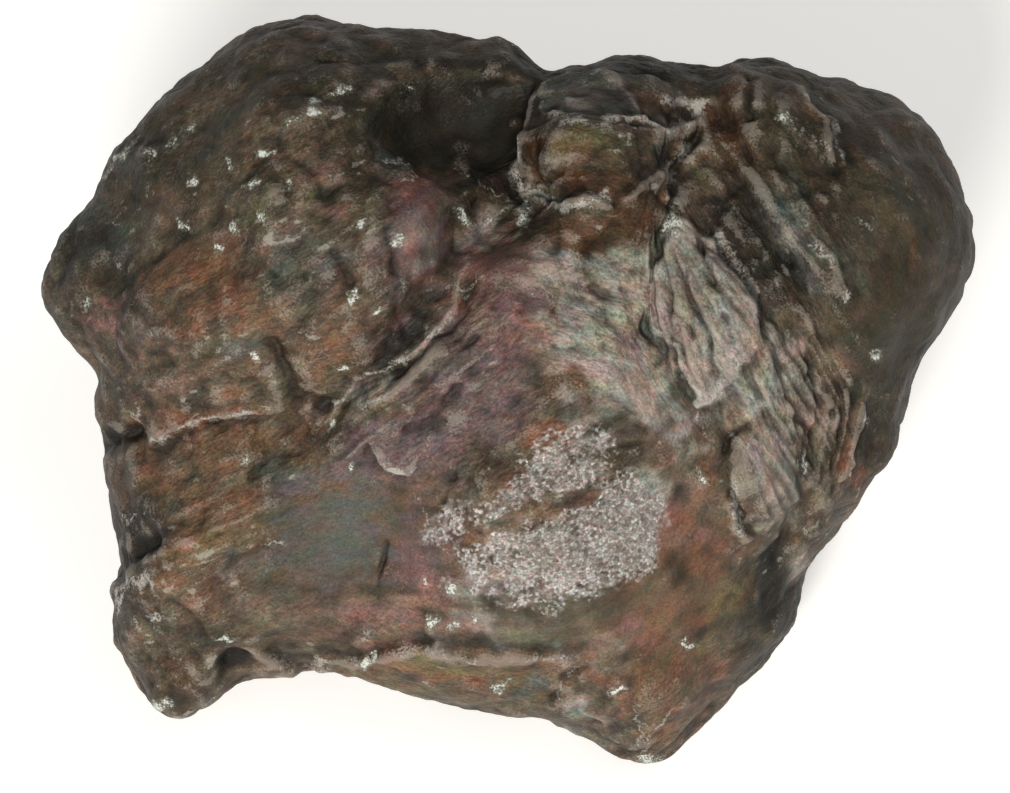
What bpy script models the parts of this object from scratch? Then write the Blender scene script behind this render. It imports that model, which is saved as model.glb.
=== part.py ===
# A stony meteorite: one solid stone, lying on the flattened side under it.
#
# The stone is worked out in the frame of its broad face. U runs to the right, V runs up along the face
# and W comes straight out of it, all in millimetres from the middle of the stone. The face leans back,
# so it is turned into the world's frame afterwards: metres, +Z up, the ground at Z = 0.

import math

import bmesh
import bpy
from mathutils import Vector, noise

NODE = "meteorite"
MM = 0.001

FACE_RISE = math.radians(60.0)    # how far above the ground the broad face looks, towards -Y
FRONT_DEPTH = 25.0                # how far the face bulges out of the plane of its edge
BACK_DEPTH = 54.0                 # how far the back reaches behind that plane
FRONT_SQUARE = 2.5                # 2 is a round section, more is a boxier one
BACK_SQUARE = 2.3
GROUND_DROP = 37.0                # from the middle of the stone down to the ground
UNDERSIDE_SOFT = 9.0              # height over which the sides turn in to the flat underside
CUT_HEIGHT = 1.2                  # the resting face is cut level at this height

BALL_CUTS = 6                     # subdivisions of the ball that is shaped into the stone
KEEP_FACES = 0.40                 # share of its triangles that is kept
SMOOTHINGS = 2                    # rounds of smoothing over the shaped ball
MERGE = 0.00012                   # metres; shorter edges are merged away
CORNER_BLUR = math.radians(1.6)   # rounds the outline's corners
BACK_BLUR = 24                    # degrees over which the edge is smoothed for the back
BLUR_STEP = 6                     # degrees between the places it is read at
NOTCHES_GONE = 0.55               # how far round to the back the edge's notches have smoothed out
SHARP_ANGLE = math.radians(55.0)  # steeper edges than this are shaded sharp

# Corners of the edge of the broad face, anticlockwise from the right, as (U, V).
EDGE = (
    (71, 20), (71, 24), (67, 36), (60, 43), (51, 47), (37, 50), (29, 48), (19, 50), (4, 49), (-1, 53),
    (-16, 54), (-21, 53), (-30, 56), (-40, 54), (-54, 41), (-59, 37), (-62, 29), (-67, 23), (-71, 17),
    (-70, 12), (-67, 8), (-63, 5), (-61, -9), (-59, -22), (-61, -33), (-57, -38), (-56, -46), (-52, -50),
    (-40, -43), (-30, -42), (-14, -45), (4, -47), (13, -53), (19, -57), (23, -57), (28, -51), (36, -43),
    (41, -36), (42, -30), (48, -20), (55, -11), (59, 0), (65, 10),
)

EDGE_FADE = (0.80, 0.99)          # the face's masses die out between these shares of the way to the edge

# How far that edge lies in front of (+) or behind (-) the middle plane, as (angle in degrees, W).
EDGE_DEPTH = (
    (0, -6), (40, -9), (75, -3), (100, -7), (130, -5), (165, -8), (200, -9), (222, -12),
    (240, -7), (265, -6), (290, -12), (318, -8), (340, -3),
)

# Rounded masses and hollows of the face: (U, V, half length, half width, turn in degrees, height).
SWELLS = (
    (-31, 24, 27, 24, 30, 8.0),       # upper left lobe
    (-52, 8, 12, 16, 20, 2.5),        # shoulder under it
    (-9, 37, 14, 8, 20, -9.0),        # deep hollow between the lobes
    (0, 27, 9, 6, 40, -4.5),          # its lower end
    (-8, 8, 24, 7, 38, 5.0),          # folded ridge, slanting down to the left
    (-12, -8, 20, 6, 30, -2.5),       # valley below the ridge
    (14, 33, 12, 11, -10, 7.0),       # stepped block in the middle
    (7, 43, 10, 4, 0, -3.0),          # its set-back top
    (33, 11, 20, 8, -62, 6.5),        # fluted wedge
    (43, 31, 22, 9, -50, 1.5),        # slope between the wedge and the right lobe
    (56, 21, 19, 25, 0, 4.0),         # right lobe
    (51, -6, 10, 9, 30, 2.0),         # crumpled folds
    (36, -15, 6, 11, 25, 3.0),        # hanging tongue
    (43, -26, 5, 8, -10, -3.0),       # hollow behind the tongue
    (8, -23, 20, 13, 10, 2.5),        # grainy patch
    (-23, -23, 17, 12, -10, -5.0),    # smooth basin
    (-46, -22, 14, 9, 35, 3.0),       # crusty shoulder left of the basin
    (-48, -42, 8, 6, 30, 2.5),        # foot at the lower left
    (22, -46, 14, 9, -50, 3.5),       # tip at the lower right
)

SWELL_FALL = 1.2                  # how fast a mass falls off towards its own edge

# Creases cut into the face: (width, depth, points along it as (U, V)).
CREASES = (
    (3.8, 8.0, ((5, 30), (-6, 22), (-10, 12), (-18, 4), (-27, -3), (-33, -5))),
    (3.2, 7.5, ((27, 39), (24, 30), (22, 21), (20, 9))),
    (3.0, 5.0, ((33, 24), (40, 12), (44, 2), (46, -8))),
    (3.2, 2.5, ((-60, -8), (-50, -4), (-38, -1))),
)

# A ledge along the bottom: below this line the face steps back, as (U, V) from right to left.
LEDGE = ((17, -62), (9, -46), (2, -40), (-9, -39), (-22, -42), (-34, -39), (-44, -37), (-56, -37), (-68, -36))
LEDGE_WIDTH = 5.0
LEDGE_DROP = 4.5

# Broken faces on the hidden sides: (U, V, W direction, distance from the middle).
BREAKS = (
    ((0.85, 0.25, -0.45), 58), ((0.35, 0.80, -0.50), 47), ((-0.35, 0.75, -0.55), 48), ((-0.85, 0.20, -0.50), 58),
    ((0.05, 0.35, -0.95), 51), ((0.60, 0.10, -0.80), 55), ((-0.60, 0.15, -0.80), 54), ((0.75, -0.50, -0.40), 54),
)
BREAK_FIRMNESS = 0.85             # 1 is a dead flat break

# Thumb-shaped hollows all over the hidden sides: (U, V, W direction, radius, depth).
THUMBPRINTS = (
    ((-0.25, -0.80, -0.45), 21, 7.5), ((0.75, -0.65, -0.45), 15, 3.0),
    ((0.9, 0.2, -0.6), 17, 3.2), ((0.6, 0.7, -0.6), 15, 3.0), ((0.1, 0.9, -0.5), 18, 3.6),
    ((-0.5, 0.8, -0.6), 16, 3.0), ((-0.9, 0.3, -0.5), 15, 2.8), ((-0.9, -0.3, -0.6), 14, 2.6),
    ((0.9, -0.4, -0.5), 14, 2.8), ((0.4, 0.4, -1.0), 19, 3.4), ((-0.3, 0.4, -1.0), 17, 3.2),
    ((0.0, 0.6, -0.9), 14, 2.6), ((0.7, 0.0, -1.0), 15, 2.8), ((-0.7, 0.0, -1.0), 16, 2.8),
    ((0.45, 0.95, -0.2), 12, 2.0), ((-0.15, 1.0, -0.9), 15, 2.4),
)

THUMB_SPREAD = 0.62               # share of the radius at which a thumbprint's wall is steepest
BACK_FROM, BACK_FULL = 0.05, 0.35 # how far round to the back the hidden shapes start, and are full

# Rolling unevenness over the whole stone: (size of the waves, height), both in millimetres.
WAVES = ((31.0, 2.4), (14.0, 1.3), (6.5, 0.55))
WAVE_START = (4.1, 7.3, 1.9)      # where in the noise the stone begins
BACK_WAVES = 1.6                  # the hidden sides are this much rougher than the face


def smooth_step(low, high, value):
    share = min(max((value - low) / (high - low), 0.0), 1.0)
    return share * share * (3.0 - 2.0 * share)


def edge_radius_at(angle):
    # Where a straight line from the middle meets the edge of the broad face.
    across, up = math.cos(angle), math.sin(angle)
    for index, (u0, v0) in enumerate(EDGE):
        u1, v1 = EDGE[(index + 1) % len(EDGE)]
        run, rise = u1 - u0, v1 - v0
        cross = across * rise - up * run
        if abs(cross) < 1e-9:
            continue
        distance = (u0 * rise - v0 * run) / cross
        along = (u0 * up - v0 * across) / cross
        if distance > 0.0 and -1e-9 <= along <= 1.0 + 1e-9:
            return distance
    raise ValueError("the outline has a gap")


def edge_radius(angle):
    near = edge_radius_at(angle - CORNER_BLUR) + edge_radius_at(angle + CORNER_BLUR)
    return 0.25 * near + 0.5 * edge_radius_at(angle)


def back_radius(angle):
    # The same edge with its notches and corners smoothed out, as the back has its own shape.
    turns = [angle + math.radians(step) for step in range(-BACK_BLUR, BACK_BLUR + 1, BLUR_STEP)]
    return sum(edge_radius_at(turn) for turn in turns) / len(turns)


def edge_depth(angle):
    degrees = math.degrees(angle) % 360.0
    for index, (a0, w0) in enumerate(EDGE_DEPTH):
        a1, w1 = EDGE_DEPTH[(index + 1) % len(EDGE_DEPTH)]
        span = (a1 - a0) % 360.0
        ahead = (degrees - a0) % 360.0
        if ahead <= span:
            return w0 + (w1 - w0) * smooth_step(0.0, span, ahead)
    raise ValueError("the edge's depths leave a gap")


def distance_to_path(u, v, path):
    # Distance from a point to a chain of straight runs, and which side of it the point is on.
    best, side = 1e9, 1.0
    for (u0, v0), (u1, v1) in zip(path, path[1:]):
        run, rise = u1 - u0, v1 - v0
        along = ((u - u0) * run + (v - v0) * rise) / (run * run + rise * rise)
        along = min(max(along, 0.0), 1.0)
        gap = math.hypot(u - u0 - along * run, v - v0 - along * rise)
        if gap < best:
            best = gap
            side = 1.0 if run * (v - v0) - rise * (u - u0) > 0.0 else -1.0
    return best, side


def face_relief(u, v):
    # Height of the face's masses, hollows, creases and ledges at one place.
    relief = 0.0
    for cu, cv, length, width, turn, height in SWELLS:
        cos_turn, sin_turn = math.cos(math.radians(turn)), math.sin(math.radians(turn))
        along = ((u - cu) * cos_turn + (v - cv) * sin_turn) / length
        across = ((v - cv) * cos_turn - (u - cu) * sin_turn) / width
        relief += height * math.exp(-SWELL_FALL * math.hypot(along, across) ** 3)
    for width, depth, path in CREASES:
        gap, _ = distance_to_path(u, v, path)
        relief -= depth * math.exp(-((gap / width) ** 2))
    gap, side = distance_to_path(u, v, LEDGE)
    below = smooth_step(-0.5 * LEDGE_WIDTH, 0.5 * LEDGE_WIDTH, side * gap)
    return relief - LEDGE_DROP * below


def thumbprint_depth(place):
    depth = 0.0
    for direction, radius, deep in THUMBPRINTS:
        reach = Vector(direction).normalized()
        gap = (place - reach * place.dot(reach)).length
        if place.dot(reach) > 0.0:
            depth += deep * math.exp(-((gap / (THUMB_SPREAD * radius)) ** 4))
    return depth


def press_to_breaks(place):
    for direction, distance in BREAKS:
        reach = Vector(direction).normalized()
        over = place.dot(reach) - distance
        if over > 0.0:
            place = place - reach * over * BREAK_FIRMNESS
    return place


def shape_point(direction):
    # Moves one point of the unit ball, given in U, V, W, onto the stone.
    angle = math.atan2(direction.y, direction.x)
    flat = min(math.hypot(direction.x, direction.y), 1.0)
    in_front = direction.z >= 0.0
    power = 2.0 / (FRONT_SQUARE if in_front else BACK_SQUARE)
    reach = flat ** power
    behind = smooth_step(0.0, NOTCHES_GONE, -direction.z)
    radius = edge_radius(angle) * (1.0 - behind) + back_radius(angle) * behind
    place = Vector((reach * radius * math.cos(angle), reach * radius * math.sin(angle), 0.0))
    place.z = edge_depth(angle) * smooth_step(0.0, 1.0, reach)
    bulge = abs(direction.z) ** power
    if in_front:
        place.z += FRONT_DEPTH * bulge
        place.z += face_relief(place.x, place.y) * (1.0 - smooth_step(*EDGE_FADE, reach))
    else:
        place.z -= BACK_DEPTH * bulge
        away = place.normalized()
        hidden = smooth_step(BACK_FROM, BACK_FULL, -direction.z)
        place = place.lerp(press_to_breaks(place), hidden)
        place -= away * thumbprint_depth(place) * hidden
    roll = 0.0
    for size, height in WAVES:
        roll += height * noise.noise(place / size + Vector(WAVE_START))
    return place + place.normalized() * roll * (1.0 if in_front else BACK_WAVES)


def turn_to_world(place):
    # Leans the face back, and flattens whatever would reach the ground.
    sin_rise, cos_rise = math.sin(FACE_RISE), math.cos(FACE_RISE)
    back = place.y * sin_rise - place.z * cos_rise
    height = place.y * cos_rise + place.z * sin_rise + GROUND_DROP
    if height < UNDERSIDE_SOFT:
        height = UNDERSIDE_SOFT * math.exp((height - UNDERSIDE_SOFT) / UNDERSIDE_SOFT)
    return Vector((place.x, back, height)) * MM


def stone_material():
    material = bpy.data.materials.new("weathered_stone")
    material.use_nodes = True
    shader = material.node_tree.nodes["Principled BSDF"]
    shader.inputs["Base Color"].default_value = (0.12, 0.09, 0.07, 1.0)
    shader.inputs["Roughness"].default_value = 0.55
    shader.inputs["Metallic"].default_value = 0.0
    return material


def thin_out(stone):
    # Keeps the triangles where the surface bends and drops them where it is smooth.
    modifier = stone.modifiers.new("thin_out", "DECIMATE")
    modifier.ratio = KEEP_FACES
    thinned = bpy.data.meshes.new_from_object(stone.evaluated_get(bpy.context.evaluated_depsgraph_get()))
    stone.modifiers.remove(modifier)
    stone.data = thinned


def cut_resting_face(bm):
    # Cuts the underside level, closes it with one flat face and sets it on the ground.
    everything = bm.verts[:] + bm.edges[:] + bm.faces[:]
    bmesh.ops.bisect_plane(
        bm, geom=everything, plane_co=(0.0, 0.0, CUT_HEIGHT * MM), plane_no=(0.0, 0.0, -1.0), clear_outer=True
    )
    bmesh.ops.remove_doubles(bm, verts=bm.verts[:], dist=MERGE)
    rim = [edge for edge in bm.edges if edge.is_boundary]
    for edge in rim:
        for vert in edge.verts:
            vert.co.z = CUT_HEIGHT * MM
    bmesh.ops.holes_fill(bm, edges=rim, sides=0)
    bmesh.ops.translate(bm, verts=bm.verts[:], vec=(0.0, 0.0, -CUT_HEIGHT * MM))


def centre_on_origin(bm):
    # Puts the middle of the stone's length and breadth over the origin.
    across = [vert.co.x for vert in bm.verts]
    back = [vert.co.y for vert in bm.verts]
    middle = Vector((min(across) + max(across), min(back) + max(back), 0.0)) * 0.5
    bmesh.ops.translate(bm, verts=bm.verts[:], vec=-middle)


def build_stone():
    bm = bmesh.new()
    bmesh.ops.create_icosphere(bm, subdivisions=BALL_CUTS, radius=1.0)
    for vert in bm.verts:
        vert.co = turn_to_world(shape_point(vert.co.normalized()))
    for _ in range(SMOOTHINGS):
        bmesh.ops.smooth_vert(bm, verts=bm.verts[:], factor=0.5, use_axis_x=True, use_axis_y=True, use_axis_z=True)
    mesh = bpy.data.meshes.new(NODE)
    bm.to_mesh(mesh)
    bm.free()
    stone = bpy.data.objects.new(NODE, mesh)
    bpy.context.scene.collection.objects.link(stone)
    thin_out(stone)

    bm = bmesh.new()
    bm.from_mesh(stone.data)
    cut_resting_face(bm)
    centre_on_origin(bm)
    bmesh.ops.triangulate(bm, faces=bm.faces[:])
    bmesh.ops.recalc_face_normals(bm, faces=bm.faces[:])
    bm.to_mesh(stone.data)
    bm.free()
    stone.data.name = NODE
    stone.data.materials.clear()
    stone.data.materials.append(stone_material())
    stone.data.shade_smooth()
    stone.data.set_sharp_from_angle(angle=SHARP_ANGLE)
    return stone


for old_object in list(bpy.data.objects):
    bpy.data.objects.remove(old_object, do_unlink=True)

build_stone()
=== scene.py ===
import math
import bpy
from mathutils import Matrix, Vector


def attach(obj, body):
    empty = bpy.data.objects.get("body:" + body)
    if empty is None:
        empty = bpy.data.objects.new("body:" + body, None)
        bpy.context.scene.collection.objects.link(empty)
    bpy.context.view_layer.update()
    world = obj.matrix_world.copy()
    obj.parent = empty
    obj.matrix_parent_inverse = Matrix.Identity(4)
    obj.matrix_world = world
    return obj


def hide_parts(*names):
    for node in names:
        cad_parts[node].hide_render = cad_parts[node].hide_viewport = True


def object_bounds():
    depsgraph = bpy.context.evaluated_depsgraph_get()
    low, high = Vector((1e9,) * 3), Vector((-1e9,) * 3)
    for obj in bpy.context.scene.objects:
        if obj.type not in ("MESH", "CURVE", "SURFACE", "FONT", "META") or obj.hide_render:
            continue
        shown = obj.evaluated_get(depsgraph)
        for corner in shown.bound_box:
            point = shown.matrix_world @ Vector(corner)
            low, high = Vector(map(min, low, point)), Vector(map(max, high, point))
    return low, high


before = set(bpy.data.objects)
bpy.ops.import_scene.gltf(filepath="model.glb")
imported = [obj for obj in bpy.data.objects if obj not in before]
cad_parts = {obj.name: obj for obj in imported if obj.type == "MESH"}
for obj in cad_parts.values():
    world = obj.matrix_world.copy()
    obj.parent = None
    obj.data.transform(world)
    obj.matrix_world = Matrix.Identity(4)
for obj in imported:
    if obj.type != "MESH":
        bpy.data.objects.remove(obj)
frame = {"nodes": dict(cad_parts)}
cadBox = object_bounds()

from concurrent.futures import ThreadPoolExecutor
from itertools import product

import bmesh
import bpy
import numpy as np
from mathutils import Matrix, Vector

mm = 0.001
nodeName = next(iter(frame["nodes"]))


# the view, and the sheet that the broad face is laid out on:
# right and up are millimetres on that sheet, from the middle of the view
view = {
    "rise": 60.0,        # degrees above the ground
    "distance": 0.70,    # metres from the middle of the face
    "lens": 167.5,
    "sensor": 36.0,
    "farthest": 20.0,
    "aside": -0.0004,    # of the middle of the view from the middle of the stone, metres
    "forward": 0.0035,
    "height": 0.442,     # share of the stone's height
}

rise = math.radians(view["rise"])
boxLow, boxHigh = Vector(cadBox[0]), Vector(cadBox[1])
viewMiddle = Vector((
    (boxLow.x + boxHigh.x) / 2 + view["aside"],
    (boxLow.y + boxHigh.y) / 2 - view["forward"],
    boxLow.z + (boxHigh.z - boxLow.z) * view["height"],
))
towardsViewer = Vector((0.0, -math.cos(rise), math.sin(rise)))
upTheFace = Vector((0.0, math.sin(rise), math.cos(rise)))


# the stone's form, all in millimetres
# spots are (right, up, half length, half width, turn in degrees, amount); paths are lists of (right, up)
stone = {
    "coarse": 0.56,              # between points on the hidden sides, half of it on the face
    "rounding": 2,               # times that the plain solid is rounded off before it is cut fine
    "evening": 3,                # rounds of smoothing after that
    "finerFrom": -0.05,          # how squarely a place faces the viewer where the points lie closer
    "grainsFrom": 0.15,          # amount of bright grains where they lie closer again
    "faceFrom": (-0.25, 0.05),   # facing where the drawn shapes begin, and where they are full
    "squareFrom": (0.15, 0.55),  # the same for the strokes that follow the grain
    "restingFrom": (1.5, 5.0),   # above the ground, where the relief begins and where it is full
    "warp": ((7.0, 0.8), (2.2, 0.25)),   # (size, shift) of the wobble laid over every drawn shape
    "bend": (6.0, 1.3),          # (size, shift) of the wobble laid over the general relief
    # general relief: (size, height of its waves, height of its sharp creases)
    "roughness": ((11.0, 0.50, 0.55), (5.5, 0.30, 0.28), (2.8, 0.10, 0.08), (1.4, 0.04, 0.03)),
    "calmHold": 0.75,            # share of it that calm ground loses
    "crumblyRise": 0.6,          # and that crumbly ground gains
    # short strokes that follow the stone's grain: (size across, stretch, height)
    "strokes": ((2.6, 3.0, 0.22), (1.2, 3.0, 0.10)),
    # which way that grain runs: (right, up, reach, angle)
    "grainWays": [
        (-30, 35, 18, 38), (-52, 12, 14, 20), (-25, 8, 12, 40), (-12, 3, 9, 42), (-44, -20, 14, 26),
        (-20, -22, 12, 20), (-15, -38, 18, -2), (8, -20, 12, 18), (0, -8, 8, 35), (12, 36, 10, -6),
        (15, 14, 8, -20), (28, 10, 9, -66), (40, 22, 14, -55), (58, 22, 14, -62), (44, 0, 9, -66),
        (50, -6, 6, 78), (24, -20, 9, 60), (22, -44, 12, 48), (-50, -40, 8, 45),
    ],
    # small pulls on the outline: (right, up, reach, move right, move up)
    "pulls": [
        (-43, -48, 4, -1.8, 0.9), (-31, -43, 7, 0, 1.7), (-23, -43.5, 5, 0, 1.2), (-56, -43, 3.5, 0.6, 0),
        (-58, -37, 4, -1.9, 0), (-60, -27, 3, -0.6, 0), (-60, -13, 4, 0.5, 0), (-61, -2, 4, -1.4, 0),
        (-66, 7, 5, -1.2, -1.3), (42.5, -30, 5, 0.3, 0), (52, 46, 9, -0.2, -0.8), (63, 37, 7, -0.4, -0.2),
        (68, 27, 7, 0.8, 0.2), (11, -53.5, 4, 0, 0.3), (32, -48, 6, -0.4, 0.3), (57, -9.5, 3.5, 1.6, 0.4),
        (61, 5, 6, -1.3, 0.4),
    ],
    "swells": [
        (-17, 34, 6, 4, 20, 0.9), (-35, 27, 9, 5, 40, 0.8), (-44, 12, 8, 5, 10, 0.7),
        (-26, 12, 7, 6, 0, 0.7), (13, 44, 6, 3, -5, 1.0), (10, 36, 8, 3, -5, 0.8),
        (12, 30, 9, 3, -8, 0.7), (40, 41, 5, 4, -50, 0.9), (36, 44, 2.5, 5, 10, 1.0),
        (57, 30, 9, 6, -60, 0.8), (17, 12, 6, 6, 0, 0.7), (6, 16, 4, 7, 10, 0.9),
        (37, -14, 4, 7, 25, 1.3), (29, -13, 2, 3, 20, 0.8), (-48, -24, 8, 3, 25, 1.0),
        (-52, -33, 6, 4, 30, 0.8), (-16, 2, 11, 3, 38, 1.1), (-14, -5, 8, 2.5, 35, -0.8),
        (3, -15, 8, 3.5, 15, 0.7), (7, -24, 11, 6, 12, 0.8), (21, -44, 7, 5, -35, 0.9),
        (-24, -20, 9, 6, 0, -0.8), (42, -24, 4, 7, -15, -1.2), (-40, -40, 2.5, 3, 0, -2.4),
        (-52, 6, 4, 3, 0, -0.7), (-35, 7, 5, 3, 30, -0.9), (-10, 38, 9, 6, 10, -1.4),
        (-1, 37, 4, 6, 0, -2.2), (62, 8, 5, 9, 20, 0.6), (35, 29, 5, 3, -50, -0.9),
        (0, 19, 7, 4.5, 0, 1.3), (-1, 27, 4.5, 2, 10, 1.2), (-14, 28, 4, 6, 0, 0.9),
        (44, 24, 12, 4, -55, 0.8), (-40, -41, 3, 2.5, 20, -1.2), (-48, -42, 4, 6, 20, 0.8),
    ],
    # dark cuts: (width, depth, path)
    "cuts": [
        (2.4, 1.9, [(-8.5, 19), (-11, 13.5), (-14, 9), (-19.5, 4), (-25.5, -1), (-30, -3)]),
        (1.6, 0.5, [(-7, 30), (-7.8, 23), (-9, 17)]),
        (0.42, 1.0, [(27.6, 26), (28.4, 24.6), (29.4, 21.5), (31.4, 16.8)]),
        (0.42, 1.0, [(22.6, 12.4), (24.2, 9.6), (26.4, 6.6), (28.4, 3.2), (29.6, 1.4)]),
        (0.4, 0.9, [(26.2, 20), (27.5, 15.5), (30, 10.5), (31.5, 6), (32.4, 2.6)]),
        (0.4, 0.9, [(31.6, 15.4), (32.6, 12.5), (34.8, 8)]),
        (0.4, 0.8, [(24.6, 17.5), (25.6, 12.5), (28.2, 8)]),
        (0.6, 0.5, [(34, 40), (38, 34.5), (43, 27), (47.5, 20)]),
        (0.6, 0.45, [(38, 38.5), (43, 33), (47.5, 26), (50, 20)]),
        (0.6, 0.5, [(34, 31), (38.5, 25.5), (43, 18), (46.5, 11)]),
        (0.45, 0.7, [(43.5, 8), (46, 3), (47.5, -3), (47.5, -9)]),
        (0.45, 0.7, [(49, 3), (50.3, -2), (50, -8), (48.5, -12)]),
        (0.5, 0.45, [(-5, 14.5), (-10, 9.5), (-15.5, 4.5), (-21, 0.5), (-26, -3.2)]),
        (0.5, 0.45, [(-3, 10.5), (-8, 5.5), (-13.5, 0.5), (-19, -4)]),
        (1.1, 1.9, [(29, 41), (27.5, 37), (25, 32), (24.4, 27)]),
        (0.8, 1.1, [(24.8, 28), (22.5, 22), (21.3, 16), (21, 11), (22.2, 7)]),
        (1.6, 1.6, [(26, 28), (29, 26), (32.5, 22.5), (36.5, 17.5), (39, 12), (39.5, 8)]),
        (0.6, 0.7, [(21.5, 13), (24, 9), (26.5, 5.5), (27.5, 2), (29.5, -1)]),
        (0.7, 0.9, [(37.2, -4.2), (35.3, -4.7), (33.8, -6.2), (32.5, -9)]),
        (0.7, 0.9, [(42.7, -2), (43.2, -5.5), (45.3, -8.5), (46, -12)]),
        (0.8, 1.0, [(45, 5), (46.5, 0), (49, -3)]),
        (0.7, 1.1, [(33, -13), (34, -16.5), (35.2, -19), (37, -20)]),
        (1.6, 1.1, [(46, -13), (43.5, -17), (42, -21), (40.5, -26)]),
        (0.5, 0.5, [(9, -8.5), (13, -8), (17, -7.3), (22, -6.3)]),
        (0.45, 0.6, [(-18, -21.5), (-18.3, -24.5), (-18.7, -28)]),
        (1.4, 0.8, [(-5.7, 2), (-9.3, -2.5), (-12.3, -4.6), (-15.5, -6)]),
        (0.8, 0.5, [(-6.3, -9), (-8.2, -13.5), (-10, -17)]),
        (0.7, 0.6, [(-11.5, 4), (-16, -0.5), (-20, -3.5)]),
        (1.6, 1.2, [(-35, 9), (-34, 5), (-31.5, 1.5), (-30, -1.5)]),
        (1.8, 1.8, [(-60, -7), (-57.5, -6), (-54.5, -4)]),
        (1.8, 1.6, [(-60, -27), (-57, -24.5), (-54.5, -22.5), (-51, -20.5)]),
        (1.1, 0.7, [(-44.5, -16), (-40, -13), (-34.5, -9.5), (-29, -8)]),
        (1.2, 0.6, [(-26.5, 23), (-24, 19), (-22.5, 16)]),
        (1.3, 0.8, [(-17.5, 26), (-16.5, 22), (-15.5, 17)]),
        (1.6, 0.8, [(-61, 14), (-55, 20), (-48, 24), (-41, 27)]),
        (1.0, 1.3, [(35.5, 47), (35.8, 43), (37, 40)]),
        (0.7, 0.7, [(7, -46), (8.5, -42.5), (12.5, -39)]),
    ],
    # ledges: the ground drops on the right-hand side walking along it: (width, drop, run-out, path)
    "ledges": [
        (0.8, 1.3, 9, [(11, -37.5), (6, -39.2), (2, -38), (-5, -38.5), (-10, -36.5), (-15, -37.5),
                       (-20, -39), (-26, -38.8), (-31, -40), (-37, -39), (-42, -36.6)]),
        (0.8, 1.8, 6, [(5, 47), (3.5, 41), (2.5, 37), (1, 33.5), (2, 30), (5.5, 27.8)]),
        (0.6, 1.2, 5, [(31, 43), (27, 41), (24.5, 39.5), (20, 41), (15.5, 40.3), (10, 40.5), (5, 42)]),
        (0.5, 0.9, 5, [(27, 36), (21, 32.5), (16.5, 28), (13, 30), (9, 28), (4, 29.5)]),
        (0.6, 1.0, 8, [(-28, -4.5), (-25, -2.5), (-22, 2), (-14, 7), (-10, 10), (-7, 15), (-5, 20)]),
        (0.5, 0.8, 4, [(-19.5, -6.5), (-19, -9.5), (-16, -10.7), (-13.5, -10.5), (-12.5, -8)]),
        (0.5, 0.9, 4, [(20.8, 14), (22.5, 10), (25.5, 6.5), (27.7, 2), (29.5, -1), (31.3, -0.5), (32.5, 3)]),
        (0.5, 0.8, 4, [(-54, -7.5), (-50, -5.5), (-45, -4), (-40, -3.3), (-36, -2.5)]),
        (0.6, 1.0, 5, [(49, 34), (48, 40), (43, 46)]),
        (0.6, 0.35, 5, [(52, 14), (48, 21), (44, 26)]),
        (0.6, 0.9, 4, [(49, -13), (52, -9.5), (53.7, -5), (53.5, 0)]),
        (0.7, 1.2, 5, [(37, -21), (34.5, -18.5), (33.3, -14.5)]),
    ],
    # raised plates: (height, edge width, corners)
    "plates": [
        (0.7, 1.0, [(24, 26.3), (27, 26.5), (31, 23.5), (34.5, 19.5), (37.3, 14.5), (38, 10), (36.8, 6),
                    (34, 2.4), (32, -0.6), (29.8, -1), (28, 1.5), (26, 6), (23, 10), (21.3, 14),
                    (21.8, 19), (23.3, 23)]),
        (0.4, 1.1, [(34, -7), (37, -5.6), (40, -8), (43, -11.5), (43.3, -14), (42.4, -18), (40.5, -21),
                    (37, -20), (35.3, -19), (34.2, -16), (33.4, -12)]),
        (0.7, 0.6, [(5.7, 46.5), (9, 48), (15, 47.5), (19, 44), (20.5, 41), (15, 40.6), (10, 40.8),
                    (5.5, 42)]),
        (0.6, 0.5, [(3.6, 39), (9, 39.5), (16, 39.2), (23, 39.5), (24, 35), (22, 31), (16, 28.5),
                    (9, 28.5), (3, 31), (2, 35)]),
        (0.4, 1.2, [(-7, 25), (-3, 28), (2, 27.5), (7, 24), (7, 18), (2, 16), (-3.5, 16.5), (-6.5, 20)]),
        (0.5, 0.6, [(42, 46), (49, 41), (50.5, 35), (47, 35), (42, 39), (39, 43)]),
        (0.25, 1.0, [(38, 36), (45, 30), (51, 20), (52, 14), (47.5, 16), (42, 24), (36, 31)]),
    ],
    # fluted ground: (right, up, half length, half width, turn of the flutes, spacing, height, spread)
    # flutes with a spread fan out from a point that far behind their middle
    "flutes": [
        (29, 12, 15, 8, -66, 1.9, 0.55, 20), (41, 23, 19, 8, -54, 3.0, 0.36, 0),
        (54, 30, 14, 9, -58, 4.0, 0.25, 0), (43, 2, 11, 8, -62, 1.7, 0.5, 0),
        (50, -6, 8, 4.5, 80, 1.7, 0.5, 0), (-13, 2, 18, 6, 41, 2.4, 0.42, 0),
        (39, -13, 5, 8, -62, 1.7, 0.3, 0), (14, 13, 8, 8, -20, 2.2, 0.2, 0),
        (-44, -20, 13, 6, 25, 2.8, 0.28, 0), (10, 36, 9, 7, -6, 2.2, 0.22, 0),
        (24, -45, 11, 7, 48, 2.4, 0.28, 0),
    ],
    "fluteStretch": (9.0, 5.0),  # length of the broad and of the fine flutes, in widths of one
    "fineFlute": 2.2,            # fine flutes to a broad one
    "fluteWaver": (6.0, 0.35),   # (size, shift) of the wobble that keeps them from running straight
    "broken": (3.0, 0.85, 0.7),  # (size, middle, spread) of how cuts and lips come and go
    "cutEdges": (0.45, 1.3),     # the least and the most of its width that a cut takes
    "lip": 0.3,                  # height of a ledge's lip, as a share of its drop
    "crystalSize": 0.46,         # across a bright grain
    "crystalHeight": 0.12,
    "crystalFrom": (0.25, 0.6),  # amount where the grains begin to stand out, and where they do fully
    # where the ground is worn smooth, and the general relief is held back
    "calm": [
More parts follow.
